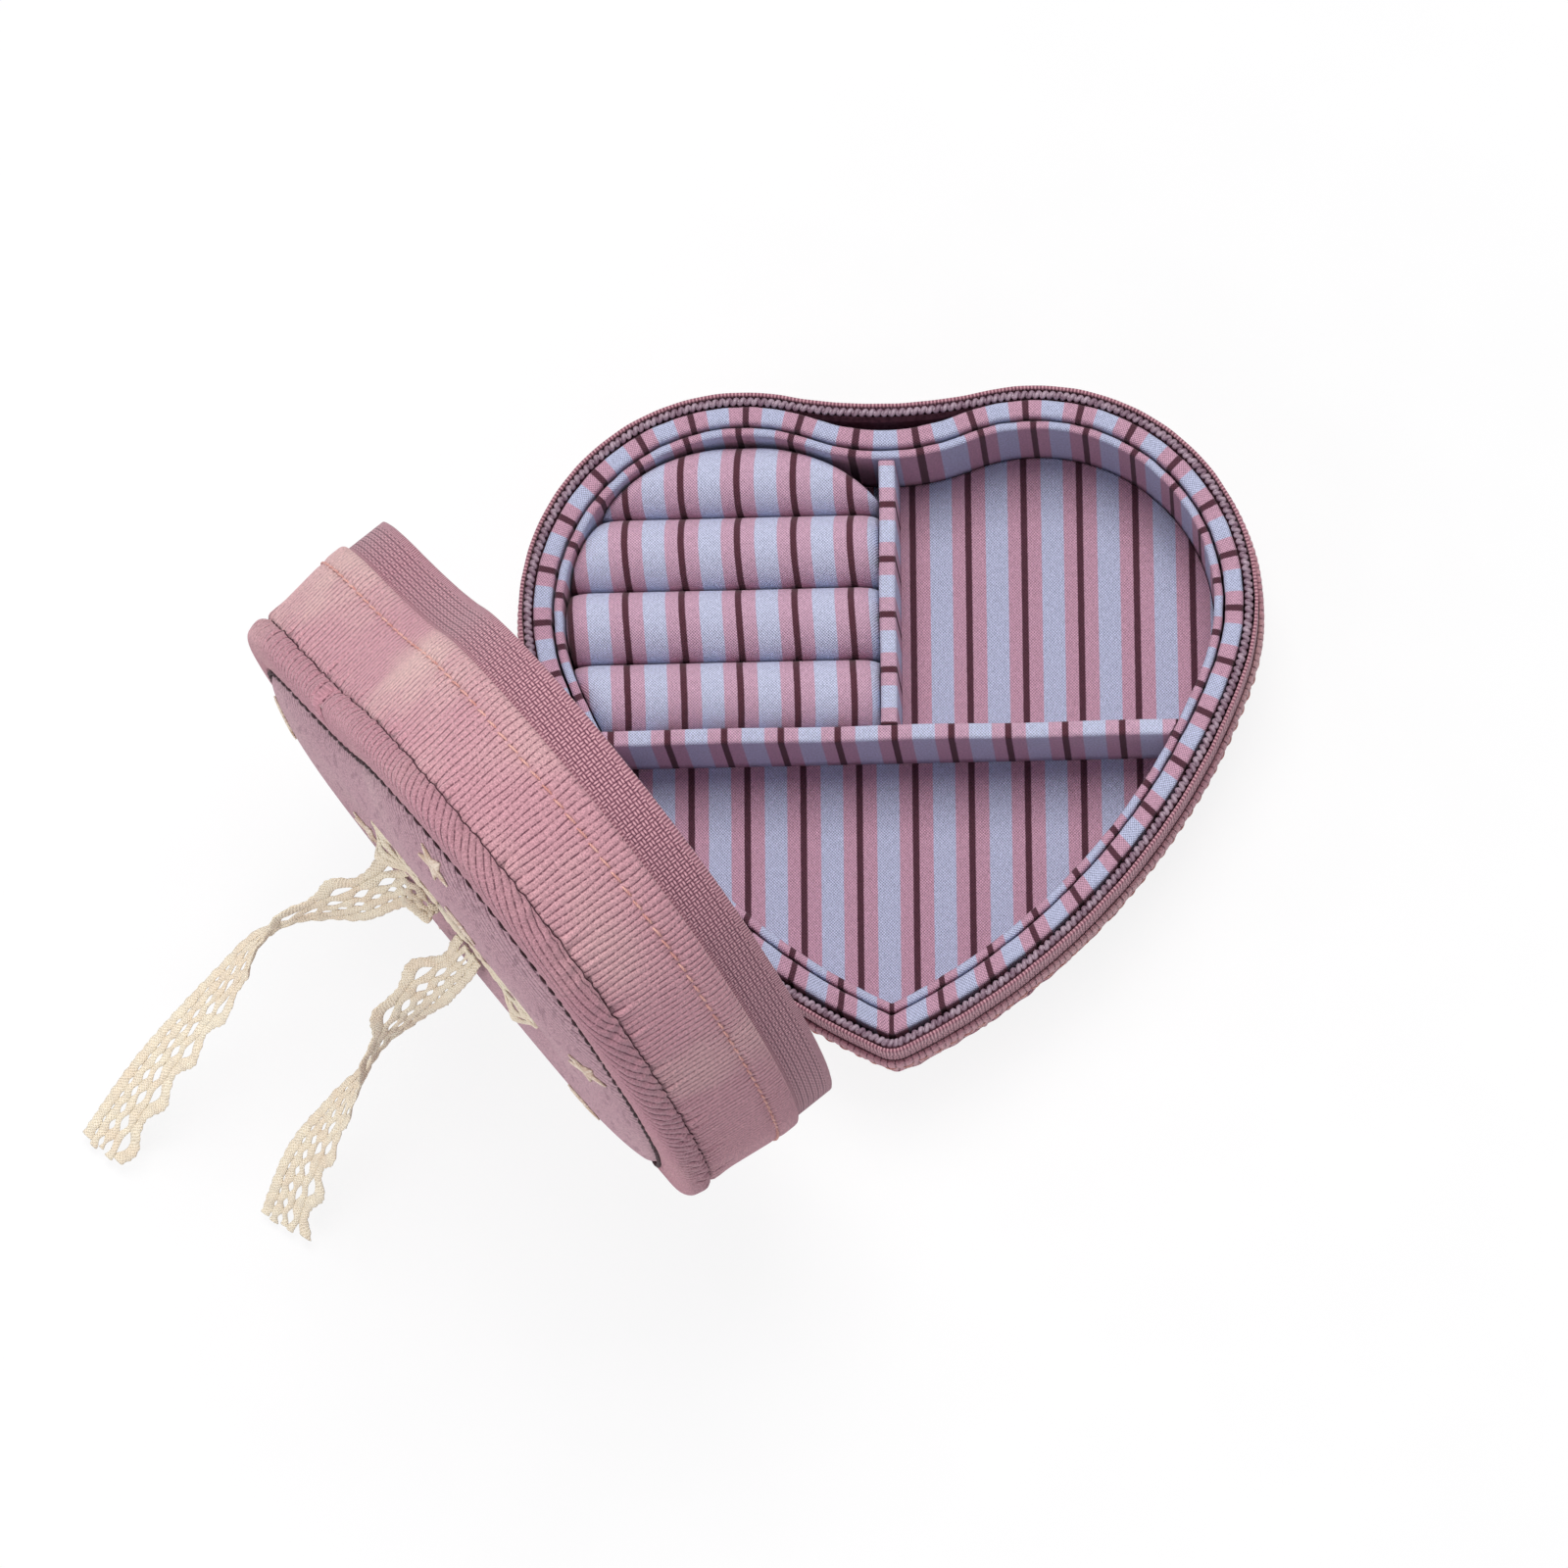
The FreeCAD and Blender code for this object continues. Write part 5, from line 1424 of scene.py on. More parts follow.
    def lining_panel(self) -> None:
        """Build the striped lining of the lid's top: a flat heart, uneven below."""
        outline = SHELL.inset(self.lining_out)
        slab = heart_slab(outline, ZIP_Z + self.top_low, ZIP_Z + self.top_high, -self.top_wave)
        panel = write_mesh("lid_lining_top", [slab.on(Body.LID)])
        fit(panel, self.finishes.stripes, Body.LID, "lid_lining_panel")


@dataclass(frozen=True)
class WrappedBoard:
    """A board wrapped in striped cotton round the tray: straight sides under a rounded top."""

    name: str
    node: str
    outer: float
    inner: float
    top: float
    radius: float
    seed: int
    foot: float = 8.5
    shoulder: float = 0.6
    soft_reach: float = 6.0
    slack: float = 0.09
    lift: float = 0.1
    most_lift: float = 0.05

    def profile(self) -> Array:
        """Return the closed profile of inner side, rounded top and outer side: rows of inset and height."""
        turn = np.linspace(0, math.pi / 2, 6)
        low = self.top - self.radius
        sides = np.linspace(self.foot, low - self.shoulder, 6)
        over = np.linspace(self.inner - self.radius, self.outer + self.radius, 4)[1:-1]
        return np.vstack(
            [
                upright(self.inner, sides),
                (self.inner - self.radius, low) + self.radius * direction(turn),
                np.c_[over, np.full(len(over), self.top)],
                (self.outer + self.radius, low) + self.radius * direction(turn + math.pi / 2),
                upright(self.outer, sides[::-1]),
            ]
        )

    def build(self, finish: Material) -> None:
        """Build and dress the board: the cloth is tight at its foot and uneven above."""
        stations = Stations.even(TRAY, 1200)
        share = stations.turn()
        profile = self.profile()
        soft = np.clip((profile[:, 1] - self.foot) / self.soft_reach, 0, 1)
        slack = self.slack * np.outer(soft, ripple(share, (23, 37, 59, 83), self.seed))
        points = ring_grid(TRAY, stations, profile, slack)
        lift = self.lift * np.outer(soft, ripple(share, (31, 53, 79), self.seed + 1))
        points[..., 2] += np.minimum(lift, self.most_lift)
        length = TRAY.inset((self.outer + self.inner) / 2).length()
        cloth = ring_map(profile, stations, length, STRIPE_PERIOD)
        cover = write_mesh(self.name, [patch_of(points, cloth, ring=True)])
        fit(cover, finish, Body.BASE, self.node)


@dataclass
class RingTray:
    """The striped tray: collar, inner wall, floor, dividers and four ring rolls."""

    finishes: Finishes
    floor_low: float = 8.5
    floor_high: float = 9.7
    floor_wave: float = 0.12
    hollow: float = 6.15
    foot: float = 9.85
    divider_top: float = 32.4
    divider_half: float = 1.7
    divider_radius: float = 0.9
    divider_shoulder: float = 0.5
    divider_uneven: float = 0.1
    soft_low: float = 20.0
    soft_reach: float = 10.0
    cross_middle: float = -1.0
    cross_gap: float = 0.05
    cross_shift: float = 3.1
    upright_start: float = 0.85
    upright_gap: float = 0.1
    roll_count: int = 4
    roll_hollow: float = 6.3
    roll_gap: float = 0.3
    last_roll_gap: float = 0.5
    divider_side: float = -2.0
    pitch: float = 15.325
    first_roll: float = 0.7
    crown: float = 31.5
    crown_rise: float = 7.4
    crest_low: float = 24.0
    crest_reach: float = 7.0
    tuck_reach: float = 5.0
    tuck_drop: float = 0.18
    tuck_narrow: float = 0.06
    most_sag: float = 0.2
    stripe_sway: float = 0.35

    BOARDS = (
        WrappedBoard("tray_collar_cover", "tray_collar", 0.0, 3.7, 33.8, 0.9, 71),
        WrappedBoard("tray_inner_cover", "tray_inner_wall", 4.2, 6.0, 32.8, 0.8, 77),
    )
    ROLL_SIDE = (14.0, 20.0)

    def build(self) -> None:
        """Build and dress the tray."""
        for board in self.BOARDS:
            board.build(self.finishes.stripes)
        slab = heart_slab(TRAY.inset(self.hollow), self.floor_low, self.floor_high, self.floor_wave, 300)
        floor = write_mesh("tray_floor_cover", [slab])
        fit(floor, self.finishes.stripes, Body.BASE, "tray_floor")
        self.cross_divider()
        self.upright_divider()
        for index in range(self.roll_count):
            self.roll(index)

    def bar_profile(self) -> Array:
        """Return the closed profile of a divider: rows of offset and height under a rounded top."""
        low = self.divider_top - self.divider_radius
        side = upright(self.divider_half, np.linspace(self.foot, low - self.divider_shoulder, 6))
        turn = np.linspace(0, math.pi / 2, 6)
        corner = (self.divider_half - self.divider_radius, low) + self.divider_radius * direction(turn)
        half = np.vstack([side, corner])
        return np.vstack([half, [(0.0, self.divider_top)], half[::-1] * (-1.0, 1.0)])

    def uneven(self, wave: Array) -> Array:
        """Return a wave along a divider as a small shift, none low down and full at its top."""
        height = self.bar_profile()[:, 1]
        return self.divider_uneven * np.clip((height - self.soft_low) / self.soft_reach, 0, 1) * wave

    def divider(self, name: str, node: str, places: tuple[Array, Array, Array], lengthwise: Array) -> None:
        """Write and dress a divider from its x, y and z grids and the distances along its cloth."""
        around = distances(looped(self.bar_profile(), 0))
        cloth = paired(looped(lengthwise, 1), around[None, :])
        bar = write_mesh(name, [patch_of(np.stack(places, axis=2), cloth)])
        # The dividers wear the lighter stripes: painted light.
        fit(bar, self.finishes.painted_lit_stripes, Body.BASE, node)

    def cross_divider(self) -> None:
        """Build the divider across the tray, cut to the tray's hollow at both ends."""
        offset, height = self.bar_profile().T
        edge = TRAY.inset(self.hollow).half_width(offset + self.cross_middle) - self.cross_gap
        x = np.outer(np.linspace(-1, 1, 260), edge)
        y = self.cross_middle + offset + self.uneven(np.sin(x / 7.0 + 0.6))
        z = height + self.uneven(np.sin(x / 5.2) - 1.0)
        lengthwise = x + stripe_shift() + self.cross_shift
        self.divider("cross_divider_cover", "cross_divider", (x, y, z), lengthwise)

    def upright_divider(self) -> None:
        """Build the divider up the tray's middle, from the cross divider to the notch."""
        offset, height = self.bar_profile().T
        _, far = TRAY.inset(self.hollow).spans(offset)
        reach = far - self.upright_gap - self.upright_start
        y = self.upright_start + np.outer(np.linspace(0, 1, 180), reach)
        x = offset + self.uneven(np.sin(y / 6.0))
        z = height + self.uneven(np.sin(y / 4.7 + 0.5) - 1.0)
        self.divider("upright_divider_cover", "upright_divider", (x, y, z), y)

    def roll_profile(self, index: int) -> Array:
        """Return a ring roll's closed profile: straight sides under a round crown, rows of y and height."""
        south = self.first_roll + self.roll_gap + index * self.pitch
        north = self.first_roll + (index + 1) * self.pitch
        if index == self.roll_count - 1:
            north -= self.last_roll_gap
        turn = np.linspace(0, math.pi, 30)
        crown = self.crown - self.crown_rise * (1 - np.sin(turn) ** 0.9)
        side = np.array([self.foot, *self.ROLL_SIDE])
        offsets = np.concatenate([np.full(len(side), -1.0), -np.cos(turn), np.ones(len(side))])
        heights = np.concatenate([side, crown, side[::-1]])
        return np.c_[(south + north) / 2 + (north - south) / 2 * offsets, heights]

    def roll(self, index: int) -> None:
        """Build one ring roll: a stuffed tube with a round crown and tucked ends, cut to the left lobe.

        A quarter circle of the distance from an end lowers and narrows the roll towards that end.
        """
        profile = self.roll_profile(index)
        y, heights = profile.T
        middle = (y.min() + y.max()) / 2
        west, east = TRAY.inset(self.roll_hollow).left_lobe(y)
        east = np.minimum(east, self.divider_side)
        share = 0.5 - 0.5 * np.cos(np.linspace(0, math.pi, 110))
        x = west + np.outer(share, east - west)
        end = np.clip(np.minimum(x - west, east - x) / self.tuck_reach, 0, 1)
        tuck = np.sqrt(np.clip(1 - (1 - end) ** 2, 0, 1))
        sag = 0.35 * np.sin(x / 8.0 + index * 1.9) + 0.2 * np.sin(x / 3.7 + index)
        crest = np.clip((heights - self.crest_low) / self.crest_reach, 0, 1)
        z = self.foot + (heights - self.foot) * (1 - self.tuck_drop * (1 - tuck))
        z = z + np.minimum(sag, self.most_sag) * crest * tuck
        narrow = 1 - self.tuck_narrow * (1 - tuck)
        points = np.stack([x, middle + (y - middle) * narrow, z], axis=2)
        around = distances(looped(profile, 0))[None, :]
        lengthwise = looped(x, 1) + stripe_shift() + self.stripe_sway * np.sin(around / 5.0 + index)
        name = f"ring_roll_cover_{index + 1}"
        cushion = write_mesh(name, [patch_of(points, paired(lengthwise, around))])
        # The rolls wear the lighter stripes: painted light.
        fit(cushion, self.finishes.painted_lit_stripes, Body.BASE, f"ring_roll_{index + 1}")


@dataclass
class ZipFastening:
    """The zip: tapes, coils, fabric hinge, end stops, slider and pull."""

    finishes: Finishes
    coil_pitch: float = 1.5
    coil_middle: float = 1.85
    coil_width: float = 0.42
    coil_height: float = 0.18
    coil_rise: float = 0.8
    wire: float = 0.54
    bare_low: float = 23.8
    bare_high: float = 41.0
    tape_gap: float = 0.3
    tape_low: float = 21.0
    tape_high: float = 47.0
    tape_thick: float = 0.7
    selvedge: float = 0.15
    tape_wave: float = 0.05
    drawn_back: float = 1.4
    drawn_reach: float = 4.0
    slider_from: float = -43.0
    slider_to: float = -21.0
    slider_ease: float = 2.0
    strip_half: float = 20.0
    strip_width: float = 17.0
    strip_columns: int = 90
    strip_rows: int = 36
    strip_half_thick: float = 0.27
    blend_far: float = 2.4
    blend_near: float = 0.4

    STRIP_BELOW = ((1.12, 26.0), (1.12, 28.5), (1.1, 31.0), (0.95, 32.6), (0.55, 33.5))

    def build(self) -> None:
        """Build and dress the zip."""
        self.tape(Body.BASE, self.tape_low, ZIP_Z - self.tape_gap, "base_zip_tape")
        self.tape(Body.LID, ZIP_Z + self.tape_gap, self.tape_high, "lid_zip_tape")
        self.coil(Body.BASE, ZIP_Z - self.coil_rise, "base_zip_coil")
        self.coil(Body.LID, ZIP_Z + self.coil_rise, "lid_zip_coil")
        self.hinge_cloth()
        for node in ("base_end_stops", "lid_end_stops", "zip_slider", "zip_pull_tab"):
            redress(node, self.finishes.metal)

    def hinge_along(self) -> float:
        """Return the hinge's place as a distance round the shell's heart."""
        stations = Stations.even(SHELL, 6000)
        gap = np.linalg.norm(SHELL.points(stations) - HINGE_POINT[:2], axis=1)
        return float(stations.along[gap.argmin()])

    def beside_slider(self, stations: Stations) -> Array:
        """Return 1 at the stations where the slider stands and 0 elsewhere, eased between."""
        half = stations.length / 2
        place = np.mod(stations.along - self.hinge_along() + half, stations.length) - half
        begun = np.clip((place - self.slider_from) / self.slider_ease, 0, 1)
        return begun * np.clip((self.slider_to - place) / self.slider_ease, 0, 1)

    def tape(self, body: Body, low: float, high: float, node: str) -> None:
        """Build a zip tape: a thin woven band with rounded selvedges, drawn back where the slider stands."""
        stations = Stations.even(SHELL, 960)
        heights = np.linspace(low + self.selvedge, high - self.selvedge, 8)
        edges = upright(self.tape_thick / 2, np.array([low, high]))
        outer, inner = upright(0.0, heights), upright(self.tape_thick, heights[::-1])
        profile = np.vstack([edges[:1], outer, edges[1:], inner])
        wave = self.tape_wave * ripple(stations.turn(), (29, 43, 67), 91)[None, :]
        points = ring_grid(SHELL, stations, profile, wave)
        edge, away = (low, self.drawn_back) if body is Body.LID else (high, -self.drawn_back)
        near = np.clip(1 - np.abs(profile[:, 1] - edge) / self.drawn_reach, 0, 1)
        points[..., 2] += away * np.outer(near, self.beside_slider(stations))
        cloth = ring_map(profile, stations, stations.length, TAPE_CELL)
        patch = patch_of(points, cloth, ring=True)
        tape = write_mesh(f"{body.value}_zip_tape_weave", [patch.on(body)])
        fit(tape, self.finishes.tape, body, node)
        SHELL.length() * MM

    def coil(self, body: Body, middle: float, node: str) -> None:
        """Build a zip coil: a helix of wire round the tape's edge, one turn for each tooth."""
        hinge = self.hinge_along()
        start, end = hinge + self.bare_low, hinge - self.bare_high + SHELL.length()
        turns = int((end - start) / self.coil_pitch)
        phase = np.linspace(0, turns, turns * 12 + 1)
        stations = Stations.at(SHELL, start + phase * self.coil_pitch)
        normals = stations.normals(SHELL)
        round_wire = direction(2 * math.pi * phase)
        aside = self.coil_width * round_wire[:, :1] - self.coil_middle
        height = middle + self.coil_height * round_wire[:, 1]
        path = raised(SHELL.points(stations) + normals * aside, height)[None]
        spin = round_wire[:, :1] * raised(normals, 0.0) + round_wire[:, 1:] * UP
        patch = tube_patch(path, np.full(path.shape[:2], self.wire), spin[None], 6)
        coil = write_mesh(f"{body.value}_coil_turns", [patch.on(body)])
        fit(coil, self.finishes.coil, body, node)

    def hinge_cloth(self) -> None:
        """Build the fabric hinge: a strip of tape from the base, over the fold, up the lid.

        The strip's lower half is mirrored in the zip plane and turned open, and a curve joins the two.
        """
        along = self.hinge_along() + np.linspace(-self.strip_half, self.strip_half, self.strip_columns)
        stations = Stations.at(SHELL, along)
        below = np.stack([raised(SHELL.inset(inset).points(stations), z) for inset, z in self.STRIP_BELOW])
        above = open_lid(below[::-1] * (1.0, 1.0, -1.0) + 2 * ZIP_Z * UP)
        control = np.concatenate([below, above])
        rows, _ = smooth_path(control.reshape(len(control), -1), self.strip_rows)
        middle = rows.reshape(self.strip_rows, self.strip_columns, 3)
        normal = unit(np.cross(np.gradient(middle, axis=0), np.gradient(middle, axis=1)))
        face, back = middle + self.strip_half_thick * normal, middle - self.strip_half_thick * normal
        points = np.concatenate([face, back[::-1]]).transpose(1, 0, 2)
        across = np.linspace(0, self.strip_width, self.strip_rows)
        around = np.concatenate([across, across[::-1], across[:1]])
        strip = write_mesh("fabric_hinge", [patch_of(points, paired(along[:, None], around[None, :]))])
        strip.data.materials.append(self.finishes.tape)
        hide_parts("base_hinge_strip", "lid_hinge_strip")
        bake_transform(strip)
        LOG.info("%s: %d faces across the hinge", strip.name, len(strip.data.polygons))


@dataclass
class LacePattern:
    """Cotton lace: bands of plaited thread side by side, parted by pointed holes, one edge in points.

    Positions across the lace run from 0 at its straight edge to the width at its points.
    """

    width: float = 12.5
    repeat: float = 16.0
    thickness: float = 0.62
    least_half: float = 0.2
    overlap: float = 0.06
    sides: int = 10
    cut: tuple[int, ...] = (3, 0, 4, 2, 6)

    def hole(self, along: Array, count: int, shift: float, length: float, breadth: float) -> Array:
        """Return half the breadth of a row of holes: a power of a sine inside each hole, 0 between them."""
        pitch = self.repeat / count
        place = along / pitch + shift + 0.5
        off = np.abs((np.mod(place, 1.0) - 0.5) * pitch)
        inside = np.clip(1 - off / (length / 2), 0, 1)
        uneven = 0.85 + 0.3 * np.mod(np.floor(place) * 0.618, 1.0)
        return breadth / 2 * uneven * np.sin(inside * math.pi / 2) ** 1.2

    def bands(self, along: Array) -> Array:
        """Return the low and high edge of each band at distances along the lace.

        Returns:
            Edges by band, side and distance.
        """
        crest = 0.5 + 0.5 * np.cos(2 * math.pi * along / self.repeat)
        points = 10.1 + 2.3 * crest**1.1 + 0.12 * np.sin(along * 2.9)
        picot = 0.22 * np.abs(np.sin(math.pi * along / 2.7))
        slit = self.hole(along, 4, 0.2, 2.6, 0.5)
        small = self.hole(along, 3, 0.25, 3.9, 1.1)
        oval = self.hole(along, 2, 0.5, 5.6, 1.55)
        eye = self.hole(along, 1, 0.0, 7.4, 1.75)
        drift = 0.12 * np.sin(along / 2.3)
        edges = [
            (0.2 - picot, 2.35 - slit + drift),
            (2.35 + slit + drift, 4.4 - small),
            (4.4 + small, 6.4 - oval - drift),
            (6.4 + oval - drift, 8.5 - 0.5 * eye),
            (8.5 + 1.5 * eye, points),
        ]
        return np.array(edges)

    def ribbon(
        self, path: Array, across: Array, out: Array, scale: Array, along: Array, seed: int, ragged: bool
    ) -> list[Patch]:
        """Return the lace laid along a path.

        Args:
            path: places of its middle.
            across: directions across it, from the straight edge to the points.
            out: directions out of its face.
            scale: how far it is gathered at each place, as a share of its width.
            along: distances along it.
            seed: seed of its unevenness.
            ragged: whether its bands end unevenly.

        Returns:
            One closed patch for each band.
        """
        turn = np.arange(self.sides) * 2 * math.pi / self.sides
        wave = np.random.RandomState(seed).uniform(0, 2 * math.pi, len(self.cut))
        patches = []
        for index, (low, high) in enumerate(self.bands(along)):
            keep = slice(0, len(along) - self.cut[index] * ragged)
            middle = ((low + high) / 2 - self.width / 2) * scale
            half = np.maximum((high - low) / 2 + self.overlap, self.least_half) * (0.35 + 0.65 * scale)
            lift = 0.13 * np.sin(2 * math.pi * along / 5.0 + wave[index]) / np.maximum(scale, 0.5)
            thick = self.thickness / 2 * (1.0 + 0.12 * np.sin(2 * math.pi * along / 2.5 + wave[index]))
            aside = middle[:, None] + np.outer(half, squared(np.cos(turn), 0.8))
            proud = lift[:, None] + np.outer(thick, np.sin(turn))
            points = path[:, None] + aside[..., None] * across[:, None] + proud[..., None] * out[:, None]
            around = np.outer(half, np.append(np.cos(turn), 1.0)) + 3 * index
            patches.append(patch_of(points[keep], paired(along[:, None], around)[keep]))
        return patches


@dataclass
class LaceBow:
    """The lace bow on the lid's panel: knot, two loops and two hanging tails.

    A loop's stops are distances from the knot and heights over the panel. A tail's are distances along the
    hinge, out of the lid and down, with the lace's twist in degrees.
    """

    finishes: Finishes
    panel: float = 71.85
    bow_y: float = 12.0
    knot: tuple[float, float, float] = (10.0, 9.0, 2.7)
    knot_power: float = 2.6
    knot_square: float = 0.7
    knot_fold: float = 0.28
    least_bulge: float = 0.12
    start: float = 2.5
    neck: float = 0.56
    rest_rise: float = 4.2

    LOOP_FRONT = ((5.2, 0.8), (12.0, 0.7), (19.0, 0.8), (24.2, 0.9))
    LOOP_BACK = ((25.2, 1.4), (23.6, 1.9), (11.0, 1.8), (5.2, 1.6))
    TAIL_LEFT = (
        (-5.4, -0.4, 5.3, 8.0),
        (-16.6, 0.6, 14.4, 26.0),
        (-22.2, 10.2, 24.7, 50.0),
        (-27.6, 18.4, 34.0, 76.0),
        (-32.0, 29.1, 45.2, 116.0),
        (-32.0, 40.7, 57.4, 148.0),
        (-32.3, 62.3, 79.4, 170.0),
        (-30.2, 82.5, 98.0, 182.0),
    )
    TAIL_RIGHT = (
        (4.6, 0.0, 5.3, 12.0),
        (4.0, 3.2, 10.5, 24.0),
        (1.0, 12.5, 23.3, 42.0),
        (0.7, 22.8, 39.0, 82.0),
        (1.6, 31.0, 51.7, 116.0),
        (1.9, 40.5, 65.7, 148.0),
        (2.4, 50.3, 79.9, 168.0),
        (6.2, 62.5, 98.0, 180.0),
    )

    def middle(self) -> Array:
        """Return the knot's foot on the closed panel."""
        return np.array([0.0, self.bow_y, self.panel])

    def build(self) -> None:
        """Build and dress the bow."""
        self.build_knot()
        self.loop("lace_loop_left", "bow_loop_left", -1.0, 3, 36.0)
        self.loop("lace_loop_right", "bow_loop_right", 1.0, 4, 24.0)
        self.tail("lace_tail_left", "bow_tail_left", self.TAIL_LEFT, 5, 0.139)
        self.tail("lace_tail_right", "bow_tail_right", self.TAIL_RIGHT, 6, 0.119)

    def build_knot(self) -> None:
        """Build the knot: a rounded block of gathered lace with folds over it."""
        length, width, height = self.knot
        around = np.linspace(0, 2 * math.pi, 97)[:-1]
        share = np.linspace(-1, 1, 41)
        bulge = (1 - np.abs(share) ** self.knot_power) ** (1 / self.knot_power)
        bulge = np.maximum(bulge, self.least_bulge)[:, None]
        gathers = np.sin(9 * share * math.pi / 2 + 0.5)
        folds = self.knot_fold * np.outer(gathers, 0.6 + 0.4 * np.cos(2 * around))
        y = (width / 2 * bulge - 0.3 + folds) * squared(np.cos(around), self.knot_square)
        rise = height / 2 * bulge**0.6 - 0.25 + 0.8 * folds
        z = height / 2 + rise * squared(np.sin(around), self.knot_square)
        x = ((length / 2 - 0.1) * share)[:, None, None] * HINGE_AXIS
        points = open_lid(x + y[..., None] * HINGE_INWARD + z[..., None] * UP + self.middle())
        cloth = paired((share * 5)[:, None], np.append(around, 2 * math.pi)[None, :] * 3.2)
        knot = write_mesh("lace_knot", [patch_of(points, cloth)])
        fit(knot, self.finishes.lace, Body.LID, "bow_knot")

    def loop(self, name: str, node: str, sign: float, seed: int, lean: float) -> None:
        """Build a bow loop: lace along a closed loop, gathered at its neck and leaning out near its end."""
        rows, along = smooth_path(np.array(self.LOOP_FRONT + self.LOOP_BACK), 230)
        reach = rows[:, 0]
        path = rows[:, :1] * sign * HINGE_AXIS + rows[:, 1:] * UP + self.middle()
        ahead = unit(np.gradient(path, axis=0))
        back = np.clip((along - along[np.argmax(reach)]) / 4.0, 0, 1)
        tilt = (math.radians(lean) * back * bell(reach, 21.0, 3.8))[:, None]
        side = np.cross(ahead, HINGE_INWARD)
        across = np.cos(tilt) * HINGE_INWARD + np.sin(tilt) * sign * side
        out = np.cross(ahead, across)
        scale = np.interp(reach, [5.2, 13.0], [self.neck, 0.96])
        patches = LacePattern().ribbon(path, across, out, scale, along, seed, False)
        loop = write_mesh(name, [patch.on(Body.LID) for patch in patches])
        fit(loop, self.finishes.lace, Body.LID, node)

    def tail(self, name: str, node: str, route: tuple, seed: int, length: float) -> None:
        """Build a tail: lace that hangs from the knot, twists once and lies on the table."""
        stops = np.array(route)
        knot = open_lid(self.middle() + self.start * UP)
        places = knot + stops[:, :1] * HINGE_AXIS - stops[:, 1:2] * HINGE_INWARD - stops[:, 2:3] * UP
        rows, along = smooth_path(np.c_[places, stops[:, 3]], 420)
        path, twist = rows[:, :3], np.radians(rows[:, 3:])
        ahead = unit(np.gradient(path, axis=0))
        level = unit(np.cross(ahead, UP))
        across = np.cos(twist) * level + np.sin(twist) * np.cross(level, ahead)
        out = np.cross(ahead, across)
        scale = np.interp(along, [0.0, 7.0, 20.0], [self.neck, 0.72, 1.0])
        tail = write_mesh(name, LacePattern().ribbon(path, across, out, scale, along, seed, True))
        fit(tail, self.finishes.lace, Body.LID, node)
        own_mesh(tail)


@dataclass
class Embroidery:
    """Stars of satin stitch on the lid's panel."""

    finishes: Finishes
    arms: int = 5
    point: float = 4.9
    waist: float = 2.3
    inset: float = 17.2
    tip_rise: float = 25.5
    lobe_turn: float = 50.0
    flank_turn: float = -33.0
    thread_rise: float = 0.34
    thread_foot: float = 0.02

    THREAD = (0.2, 0.27, 0.27, 0.18)

    def places(self) -> Array:
        """Return the stars' middles on the closed panel."""
        lobe = np.array([LOBE_X, LOBE_Y])
        centres = np.stack([lobe, SHELL.arcs()[FLANK_ARC, :2]])
        radii = np.array([[SHELL.lobe], [SHELL.flank]]) - self.inset
        ring = centres + radii * direction(np.radians([self.lobe_turn, self.flank_turn]))
        right = np.vstack([lobe, ring])
        return np.vstack([right, right * [-1.0, 1.0], [(0.0, self.tip_rise - SHELL.depth)]])

    def star(self) -> Array:
        """Return a star's threads: each half of an arm is a row of them from its ridge to its edge."""
        steps = np.linspace(0.06, 0.96, 9)[None, :, None]
        span = np.linspace(0.0, 1.0, len(self.THREAD))
        rise = self.thread_rise * np.cos(span * math.pi / 2) ** 0.6 + self.thread_foot
        arm = np.arange(self.arms) * 2 * math.pi / self.arms + math.pi / 2
        tip = self.point * direction(arm)[:, None]
        rows = []
        for side in (-1, 1):
            waist = self.waist * direction(arm + side * math.pi / self.arms)[:, None]
            ridge = tip * steps
            edge = waist + (tip - waist) * steps
            flat = ridge[:, :, None] + (edge - ridge)[:, :, None] * span[:, None]
            rows.append(raised(flat, rise).reshape(-1, len(span), 3))
        return np.vstack(rows)

    def build(self) -> None:
        """Build and dress the stars on the padding."""
        middles = raised(self.places(), ZIP_Z)
        paths = (middles[:, None, None] + self.star()[None]).reshape(-1, len(self.THREAD), 3)
        paths[..., 2] += FieldPadding().height(paths[..., :2].reshape(-1, 2)).reshape(paths.shape[:2])
        radii = np.broadcast_to(np.array(self.THREAD), paths.shape[:2])
        patch = tube_patch(paths, radii, np.broadcast_to(UP, paths.shape), 5, 0.75)
        stars = write_mesh("satin_stars", [patch.on(Body.LID)])
        fit(stars, self.finishes.embroidery, Body.LID, "embroidered_stars")


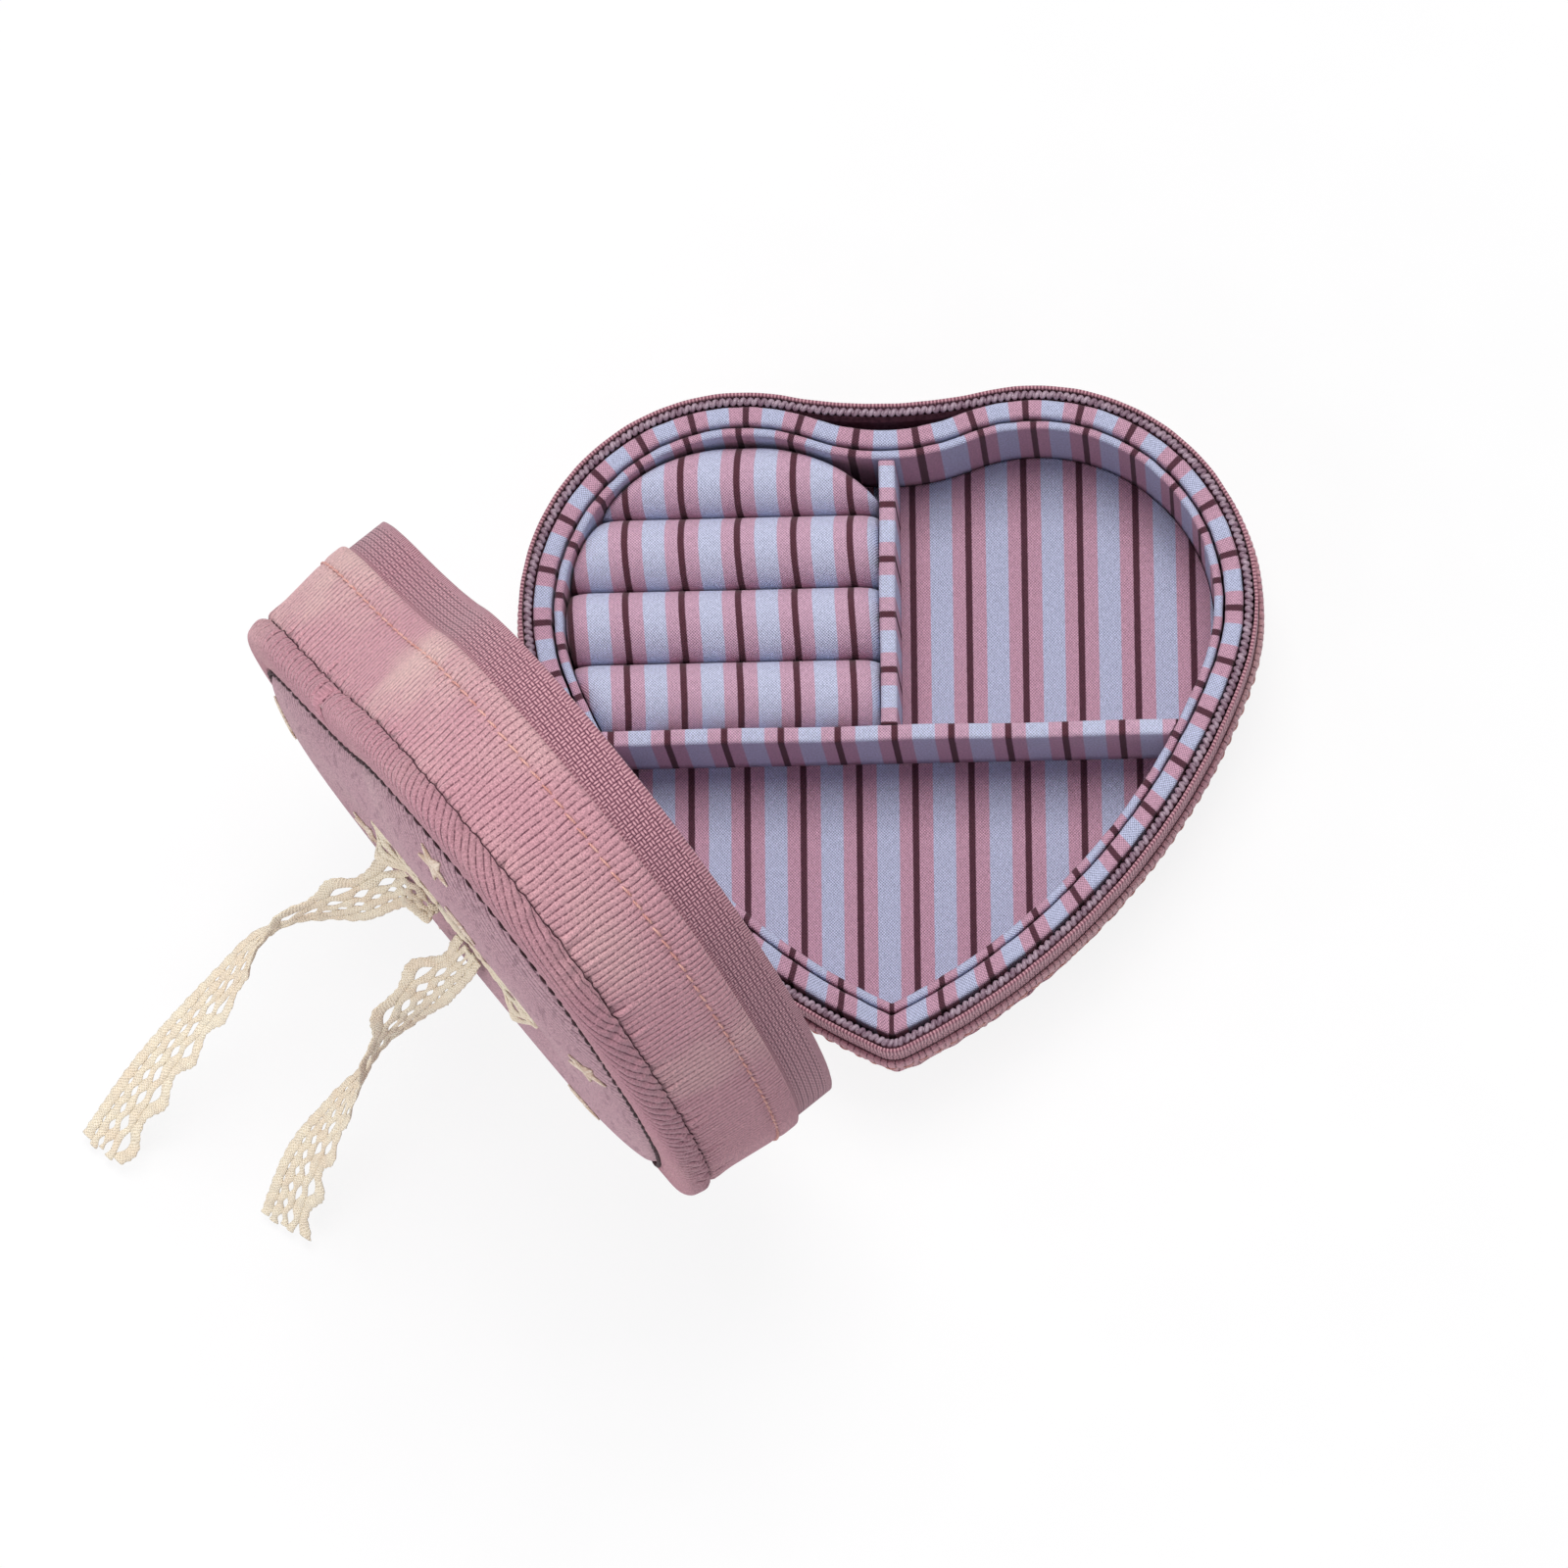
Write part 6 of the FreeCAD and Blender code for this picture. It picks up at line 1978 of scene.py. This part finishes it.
@dataclass
class Studio:
    """Camera, lights, pale floor and background."""

    image: float = 1600.0
    focal: float = 7500.0
    distance: float = 1500.0
    tilt: float = 13.0
    turn: float = 13.0
    roll: float = -0.6
    aim: tuple[float, float] = (906.6, 740.6)
    sensor: float = 36.0
    floor_reach: float = 3.0
    floor_white: float = 0.85
    sky: tuple[float, float, float] = (0.9, 0.9, 1.0)
    sky_strength: float = 0.43

    NORTH = np.array([0.0, 1.0, 0.0])
    LIT = np.array([0.0, 0.0, 0.03])
    LAMPS = (
        ("key", (0.05, 0.62, 1.65), 0.9, 21.5, (1.0, 0.98, 0.95)),
        ("fill", (-1.0, -0.85, 0.9), 1.0, 10.0, (1.0, 0.97, 0.98)),
    )

    def build(self) -> None:
        """Set up the whole studio."""
        self.camera()
        self.lights()
        self.floor()
        self.world()
        bpy.context.scene.view_settings.view_transform = "Standard"

    def stand(self, name: str, data: bpy.types.ID, axes: list[Array], place: Array) -> Thing:
        """Stand a camera or lamp at a place in metres, its x, y and z along three directions."""
        thing = bpy.data.objects.new(name, data)
        rows = np.c_[np.stack(axes, axis=1), place]
        thing.matrix_world = Matrix([*rows.tolist(), (0, 0, 0, 1)])
        bpy.context.collection.objects.link(thing)
        return thing

    def camera(self) -> None:
        """Place the camera from the fitted view: its back direction, roll, focal length and aim."""
        tilt, turn, roll = (math.radians(a) for a in (self.tilt, self.turn, self.roll))
        back = np.array([math.sin(tilt) * math.sin(turn), -math.sin(tilt) * math.cos(turn), math.cos(tilt)])
        level = unit(np.cross(-back, self.NORTH))
        upward = np.cross(back, level)
        right = math.cos(roll) * level + math.sin(roll) * upward
        up = math.cos(roll) * upward - math.sin(roll) * level
        data = bpy.data.cameras.new("view")
        data.sensor_width = self.sensor
        data.lens = self.focal / self.image * self.sensor
        data.shift_x = (self.image / 2 - self.aim[0]) / self.image
        data.shift_y = (self.aim[1] - self.image / 2) / self.image
        data.clip_end = 20.0
        eye = (ZIP_Z * UP + back * self.distance) * MM
        bpy.context.scene.camera = self.stand("view", data, [right, up, back], eye)

    def lights(self) -> None:
        """Hang a broad key light above, beyond the notch, and a weaker fill out beyond the lid."""
        for name, place, size, power, colour in self.LAMPS:
            data = bpy.data.lights.new(name, "AREA")
            data.size = size
            data.energy = power
            data.color = colour
            away = unit(np.array(place) - self.LIT)
            side = unit(np.cross(self.NORTH, away))
            self.stand(name, data, [side, np.cross(away, side), away], np.array(place))

    def floor(self) -> None:
        """Lay a pale floor that the camera sees almost white, with the shadows kept."""
        mesh = bpy.data.meshes.new("floor")
        corners = np.array([(-1, -1, 0), (1, -1, 0), (1, 1, 0), (-1, 1, 0)]) * self.floor_reach
        mesh.from_pydata(corners.tolist(), [], [(0, 1, 2, 3)])
        floor = bpy.data.objects.new("floor", mesh)
        bpy.context.collection.objects.link(floor)
        sheet = NodeSheet.named("pale_floor")
        grain = sheet.remap(sheet.noise(sheet.place(), 40.0, 3.0), 0.3, 0.7, 0.86, 0.9)
        mesh.materials.append(sheet.surface(sheet.vector(grain, grain, grain), 0.9, Specular_IOR_Level=0.1))
        sheet.show_to_camera(self.floor_white, "Emission", "Material Output")

    def world(self) -> None:
        """Make the background white to the camera and a soft, slightly cool light to the case."""
        world = bpy.data.worlds.new("studio")
        bpy.context.scene.world = world
        sheet = NodeSheet(world)
        sheet.fed(sheet.shader, (self.sky, self.sky_strength), ("Color", "Strength"))
        sheet.show_to_camera(1.0, "Background", "World Output")


def main() -> None:
    """Build the case piece by piece."""
    logging.basicConfig(level=logging.INFO, format="%(name)s %(message)s")
    finishes = Finishes()
    Studio().build()
    for assembly in (BaseShell, LidShell, RingTray, ZipFastening, LaceBow, Embroidery):
        assembly(finishes).build()


if __name__ == "__main__":
    main()
